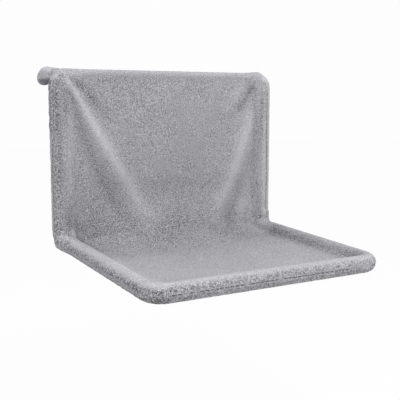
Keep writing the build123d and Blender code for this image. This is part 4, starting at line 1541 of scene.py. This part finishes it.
@dataclass(frozen=True)
class PlushFinish:
    """Short grey plush, fine on the cloth, in curled tufts on the rolls' outer side, with painted
    light and shade.
    """

    name: str = "grey_plush"
    base: tuple[float, float, float, float] = (0.378, 0.373, 0.394, 1)
    # The colour of the painted shade in the hollows and pockets between the curls.
    dark: tuple[float, float, float, float] = (0.085, 0.084, 0.092, 1)
    thread: tuple[float, float, float, float] = (0.035, 0.034, 0.038, 1)
    seamed: bool = True
    tone_share: float = 0.34
    fine_share: float = 2.9
    coarse_share: float = 0.3
    broad_share: float = 0.22
    curl_share: float = 0.64
    pocket_share: float = 0.6
    seam_half: float = 0.0010
    stitch_step: float = 0.0105
    stitch_share: float = 0.72

    def build(self) -> bpy.types.Material:
        """Makes the material."""
        g = Graph(self.name)
        loose, tone = g.value_of("nap"), g.value_of("tone")
        nap = g.maths("MINIMUM", loose, 1.15)
        fine, coarse, broad = g.grain(600, 2, 0.6), g.grain(190, 2, 0.5), g.grain(14, 2, 0.5)
        curls = g.cells(330, g.stirred(240, 0.0058), 0.2)
        deep = g.maths("MULTIPLY", g.maths("SUBTRACT", curls, 0.38), 2.9, clamp=True)
        deep = g.maths("MULTIPLY", deep, nap)
        calm = g.maths("MULTIPLY_ADD", tone, -0.2, 1.0)
        coarse_pile = self.swing(g, coarse, self.coarse_share)
        pile = g.maths("ADD", self.swing(g, fine, self.fine_share), coarse_pile)
        # The mesh's tone is painted light and painted shade on the plush's colour.
        level = g.maths("MULTIPLY_ADD", tone, self.tone_share, 1.0)
        level = g.maths("ADD", level, g.maths("MULTIPLY", pile, calm))
        level = g.maths("ADD", level, self.swing(g, broad, self.broad_share))
        level = g.maths("MULTIPLY", level, g.maths("MULTIPLY_ADD", nap, 0.16, 1.0))
        colour = g.scaled(self.base, level)
        # Painted shade in the hollows between the curls.
        hollows = g.maths("MULTIPLY", deep, self.curl_share, clamp=True)
        colour = g.between(hollows, colour, self.dark)
        pockets = g.maths("MULTIPLY", self.pockets(g, loose), self.pocket_share)
        colour = g.between(pockets, colour, self.dark)
        if self.seamed:
            colour = g.between(self.stitched(g), colour, self.thread)
        g.link(colour, g.shader.inputs["Base Color"])
        g.shader.inputs["Roughness"].default_value = 0.95
        g.shader.inputs["Specular IOR Level"].default_value = 0.12
        g.shader.inputs["Sheen Weight"].default_value = 0.30
        g.shader.inputs["Sheen Roughness"].default_value = 0.35
        g.shader.inputs["Sheen Tint"].default_value = (0.95, 0.95, 1.0, 1)
        height = g.maths("MULTIPLY_ADD", fine, 0.60, g.maths("MULTIPLY", coarse, 0.20))
        sunk = g.maths("MULTIPLY", g.maths("MULTIPLY", curls, nap), 1.3)
        g.relief(g.maths("SUBTRACT", height, sunk), 0.0016)
        return g.material

    def swing(self, g: Graph, grain: bpy.types.NodeSocket, amount: float) -> bpy.types.NodeSocket:
        """A noise as a swing about nought, by an amount."""
        return g.maths("MULTIPLY", g.maths("SUBTRACT", grain, 0.5), amount)

    def pockets(self, g: Graph, loose: bpy.types.NodeSocket) -> bpy.types.NodeSocket:
        """The painted shade in the pockets between loose curls, from 0 to 1."""
        holes = g.maths("SUBTRACT", g.cells(185, g.stirred(150, 0.009), 0.15), 0.42)
        holes = g.maths("MULTIPLY", holes, 4.5, clamp=True)
        where = g.maths("MULTIPLY", g.maths("SUBTRACT", loose, 1.0), 1.5, clamp=True)
        return g.maths("MULTIPLY", holes, where)

    def stitched(self, g: Graph) -> bpy.types.NodeSocket:
        """The dark line of the seam, broken into stitches."""
        off = g.maths("ADD", g.value_of("seam"), self.swing(g, g.grain(120), 0.0009))
        off = g.maths("ABSOLUTE", off)
        thin = g.maths("SUBTRACT", 1.0, g.maths("DIVIDE", off, self.seam_half), clamp=True)
        beat = g.maths("FRACT", g.maths("DIVIDE", g.value_of("along"), self.stitch_step))
        on = g.maths("LESS_THAN", beat, self.stitch_share)
        patchy = g.maths("MULTIPLY", g.maths("SUBTRACT", g.grain(46), 0.34), 5.0, clamp=True)
        line = g.maths("MULTIPLY", g.maths("MULTIPLY", thin, on), patchy)
        line = g.maths("MULTIPLY", line, g.value_of("seam_near"))
        return g.maths("MULTIPLY", line, 0.6, clamp=True)


@dataclass(frozen=True)
class ThreadFinish:
    """Dark grey sewing thread with a twist."""

    name: str = "dark_grey_thread"
    colour: tuple[float, float, float, float] = (0.060, 0.059, 0.064, 1)

    def build(self) -> bpy.types.Material:
        """Makes the material."""
        g = Graph(self.name)
        twist = g.grain(2600, 2, 0.5)
        colour = g.scaled(self.colour, g.maths("MULTIPLY_ADD", twist, 1.0, 0.5))
        g.link(colour, g.shader.inputs["Base Color"])
        g.shader.inputs["Roughness"].default_value = 0.7
        g.relief(twist, 0.0001)
        return g.material


@dataclass(frozen=True)
class MetalFinish:
    """Coated or bright steel, with a grain and slight unevenness."""

    name: str
    colour: tuple[float, float, float, float]
    metallic: float
    roughness: float
    grain: float
    depth: float

    def build(self) -> bpy.types.Material:
        """Makes the material."""
        g = Graph(self.name)
        tone = g.grain(self.grain, 3, 0.55)
        paler = tuple(min(1.0, c * 1.18) for c in self.colour[:3]) + (1,)
        g.link(g.between(tone, self.colour, paler), g.shader.inputs["Base Color"])
        g.shader.inputs["Metallic"].default_value = self.metallic
        g.link(g.maths("MULTIPLY_ADD", g.grain(self.grain / 9, 2), 0.16, self.roughness - 0.08),
               g.shader.inputs["Roughness"])
        g.relief(tone, self.depth, 0.6)
        return g.material


@dataclass(frozen=True)
class TapeFinish:
    """Hook-and-loop tape: rows of hooks, or a mat of loops."""

    name: str
    colour: tuple[float, float, float, float]
    rows: bool

    def build(self) -> bpy.types.Material:
        """Makes the material."""
        g = Graph(self.name)
        scale, place = (1100, g.place) if self.rows else (800, g.stirred(500, 0.002))
        mat = g.cells(scale, place, 0.1)
        dark = tuple(c * 0.45 for c in self.colour[:3]) + (1,)
        share = g.maths("MULTIPLY", mat, 1.3, clamp=True)
        g.link(g.between(share, self.colour, dark), g.shader.inputs["Base Color"])
        g.shader.inputs["Roughness"].default_value = 0.8
        g.relief(g.maths("SUBTRACT", 1.0, mat), 0.0006)
        return g.material


class Finish(Enum):
    """Each finish of the bed, with the material slot of the record that it belongs to."""

    PLUSH = "plush"
    TUBE = "frame_tube"
    STEEL = "bright_steel"
    PLASTIC = "cap_plastic"
    TAPE = "closure_tape"


@dataclass(frozen=True)
class SpringLeaf:
    """A hairpin spring inside a tube, whose inboard arm carries a button and goes in with it."""

    level: str
    side: str
    thickness: float = 0.0006

    @property
    def node(self) -> str:
        """The frame's own spring, whose form this piece has."""
        return f"button_spring_{self.level}_{self.side}"

    def build(self) -> bpy.types.Object:
        """Makes the spring as one closed mesh."""
        bm = bmesh.new()
        bm.from_mesh(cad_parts[self.node].data)
        bmesh.ops.remove_doubles(bm, verts=bm.verts[:], dist=1e-6)
        return placed(bm, f"spring_leaf_{self.level}_{self.side}", smooth=False)

    def bend(self, leaf: bpy.types.Object) -> None:
        """Puts the spring in place of the frame's own spring, which it hides, in the same shape; it
        sits between the tube, which its outer arm leans on, and its button.

        Args:
            leaf: the piece that build() made.
        """
        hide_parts(self.node)
        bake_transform(leaf)
        LOG.info("built %s with %d faces", leaf.name, len(leaf.data.polygons))


@dataclass
class Hardware:
    """The frame's own pieces, which keep their shapes and get their finishes."""

    tube: MetalFinish = MetalFinish(
        "white_coated_tube", (0.74, 0.74, 0.73, 1),
        metallic=0.0, roughness=0.38, grain=700, depth=0.00004,
    )
    steel: MetalFinish = MetalFinish(
        "bright_zinc_steel", (0.62, 0.63, 0.65, 1),
        metallic=1.0, roughness=0.30, grain=900, depth=0.00003,
    )
    plastic: MetalFinish = MetalFinish(
        "moulded_black_plastic", (0.03, 0.03, 0.032, 1),
        metallic=0.0, roughness=0.45, grain=1500, depth=0.00005,
    )
    hooks: TapeFinish = TapeFinish("tape_of_hooks", (0.30, 0.30, 0.31, 1), True)
    loops: TapeFinish = TapeFinish("tape_of_loops", (0.36, 0.36, 0.37, 1), False)

    def finish_for(self, node: str) -> str:
        """Names the finish of a piece by what the piece is."""
        if "tube" in node:
            return "tube"
        if "cap" in node:
            return "plastic"
        if node == "closure_hook_strip":
            return "hooks"
        if node == "closure_loop_strip":
            return "loops"
        return "steel"

    def dress(self) -> None:
        """Gives every carried-over piece that shows its finish."""
        made = {k: getattr(self, k).build() for k in ("tube", "steel", "plastic", "hooks", "loops")}
        for level in ("upper", "lower"):
            for side in ("left", "right"):
                spring = SpringLeaf(level, side)
                leaf = spring.build()
                leaf.data.materials.append(made["steel"])
                spring.bend(leaf)
        for name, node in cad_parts.items():
            if node.hide_render:
                continue
            material = made[self.finish_for(name)]
            node.data.materials.clear()
            node.data.materials.append(material)
            LOG.info("dressed %s", name)


@dataclass
class Studio:
    """The camera, the lights and the plain pale surroundings."""

    camera_at: Vector = field(default_factory=lambda: Vector((-0.63671, -1.23205, -0.03161)))
    azimuth: float = math.radians(-30.17)
    elevation: float = math.radians(7.79)
    lens: float = 64.735
    floor_z: float = -0.62

    def add_camera(self) -> None:
        """Sets the camera up as the photograph was taken."""
        data = bpy.data.cameras.new("camera")
        data.lens = self.lens
        data.sensor_width = 36
        data.clip_start, data.clip_end = 0.01, 50
        camera = bpy.data.objects.new("camera", data)
        bpy.context.scene.collection.objects.link(camera)
        level = math.cos(self.elevation)
        aside, ahead = math.sin(self.azimuth) * level, -math.cos(self.azimuth) * level
        back = Vector((aside, ahead, math.sin(self.elevation)))
        camera.location = self.camera_at
        camera.rotation_mode = "QUATERNION"
        camera.rotation_quaternion = (-back).to_track_quat("-Z", "Y")
        bpy.context.scene.camera = camera

    def add_light(
        self, name: str, place: tuple[float, float, float], size: float, power: float
    ) -> None:
        """Adds a soft square lamp that faces the bed."""
        data = bpy.data.lights.new(name, "AREA")
        data.size = size
        data.energy = power
        lamp = bpy.data.objects.new(name, data)
        bpy.context.scene.collection.objects.link(lamp)
        lamp.location = place
        aim = Vector((0, -0.15, -0.15)) - lamp.location
        lamp.rotation_mode = "QUATERNION"
        lamp.rotation_quaternion = aim.to_track_quat("-Z", "Y")

    def add_world(self) -> None:
        """Makes the surroundings white to the camera and a plain soft light to the bed."""
        world = bpy.data.worlds.new("surroundings")
        bpy.context.scene.world = world
        world.use_nodes = True
        tree = world.node_tree
        tree.nodes.clear()
        out = tree.nodes.new("ShaderNodeOutputWorld")
        seen = tree.nodes.new("ShaderNodeBackground")
        lit = tree.nodes.new("ShaderNodeBackground")
        seen.inputs[0].default_value = (1, 1, 1, 1)
        seen.inputs[1].default_value = 0.985
        lit.inputs[0].default_value = (0.97, 0.98, 1, 1)
        lit.inputs[1].default_value = 0.45
        mix = tree.nodes.new("ShaderNodeMixShader")
        tree.links.new(self.seen_directly(tree), mix.inputs[0])
        tree.links.new(lit.outputs[0], mix.inputs[1])
        tree.links.new(seen.outputs[0], mix.inputs[2])
        tree.links.new(mix.outputs[0], out.inputs[0])

    def seen_directly(self, tree: bpy.types.NodeTree) -> bpy.types.NodeSocket:
        """One where the camera, a gloss or a glass sees a surface, and nought elsewhere."""
        path = tree.nodes.new("ShaderNodeLightPath")
        first = tree.nodes.new("ShaderNodeMath")
        first.operation = "ADD"
        tree.links.new(path.outputs["Is Camera Ray"], first.inputs[0])
        tree.links.new(path.outputs["Is Glossy Ray"], first.inputs[1])
        both = tree.nodes.new("ShaderNodeMath")
        both.operation = "ADD"
        both.use_clamp = True
        tree.links.new(first.outputs[0], both.inputs[0])
        tree.links.new(path.outputs["Is Transmission Ray"], both.inputs[1])
        return both.outputs[0]

    def add_floor(self) -> None:
        """Lays a plain pale floor, well below the hanging bed, that keeps its shadow."""
        bm = bmesh.new()
        bmesh.ops.create_grid(bm, x_segments=1, y_segments=1, size=8)
        bmesh.ops.translate(bm, vec=(0, 0, self.floor_z), verts=bm.verts)
        floor = placed(bm, "floor", smooth=False)
        material = bpy.data.materials.new("pale_floor")
        material.use_nodes = True
        tree = material.node_tree
        tree.nodes.clear()
        out = tree.nodes.new("ShaderNodeOutputMaterial")
        matt = tree.nodes.new("ShaderNodeBsdfDiffuse")
        matt.inputs[0].default_value = (0.86, 0.86, 0.86, 1)
        glow = tree.nodes.new("ShaderNodeEmission")
        glow.inputs[0].default_value = (1, 1, 1, 1)
        glow.inputs[1].default_value = 1.0
        share = tree.nodes.new("ShaderNodeMath")
        share.operation = "MULTIPLY"
        share.inputs[1].default_value = 0.96
        tree.links.new(self.seen_directly(tree), share.inputs[0])
        mix = tree.nodes.new("ShaderNodeMixShader")
        tree.links.new(share.outputs[0], mix.inputs[0])
        tree.links.new(matt.outputs[0], mix.inputs[1])
        tree.links.new(glow.outputs[0], mix.inputs[2])
        tree.links.new(mix.outputs[0], out.inputs[0])
        floor.data.materials.append(material)

    def build(self) -> None:
        """Sets up the camera, the floor, the surroundings and the lamps."""
        self.add_camera()
        self.add_floor()
        self.add_world()
        self.add_light("key", (0.15, -1.35, 1.95), 1.0, 48)
        self.add_light("left", (-1.9, -0.2, 0.9), 1.2, 9)
        bpy.context.scene.view_settings.view_transform = "Standard"


def attach(
    piece: bpy.types.Object, material: bpy.types.Material, nodes: Iterable[str]
) -> None:
    """Finishes a piece and fixes it to the bed.

    Args:
        piece: the new piece.
        material: its finish.
        nodes: the plain pieces that it stands for.
    """
    piece.data.materials.append(material)
    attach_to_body(piece, BED)
    nodes = list(nodes)
    if nodes:
        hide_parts(*nodes)
    LOG.info("built %s with %d faces", piece.name, len(piece.data.polygons))


def main() -> None:
    """Builds the bed's cover, dresses its frame and sets up the studio."""
    logging.basicConfig(level=logging.INFO, format="%(message)s")
    Studio().build()
    cover = PlushCover()
    pieces = cover.build()
    plush = PlushFinish().build()
    attach(
        pieces["plush_front_panel"], plush,
        ["sling_panel", "upright_cover_left", "upright_cover_right",
         "rim_cover_left", "rim_cover_right", "rim_cover_front"],
    )
    attach(pieces["plush_back_panel"], plush, ["rear_panel", "under_panel"])
    attach(pieces["hook_sleeve_left"], plush, ["hook_cover_left"])
    attach(pieces["hook_sleeve_right"], plush, ["hook_cover_right"])
    thread = SeamThread(cover).build()
    attach(thread, ThreadFinish().build(), [])
    flap = ClosureFlap().build()
    attach(flap, PlushFinish(name="flap_plush", seamed=False).build(), ["top_hem"])
    Hardware().dress()
    for name in ("plush_front_panel", "plush_back_panel"):
        area = sum(p.area for p in pieces[name].data.polygons)
        LOG.info("%s has %.4f square metres of cloth", name, area)


if __name__ == "__main__":
    main()
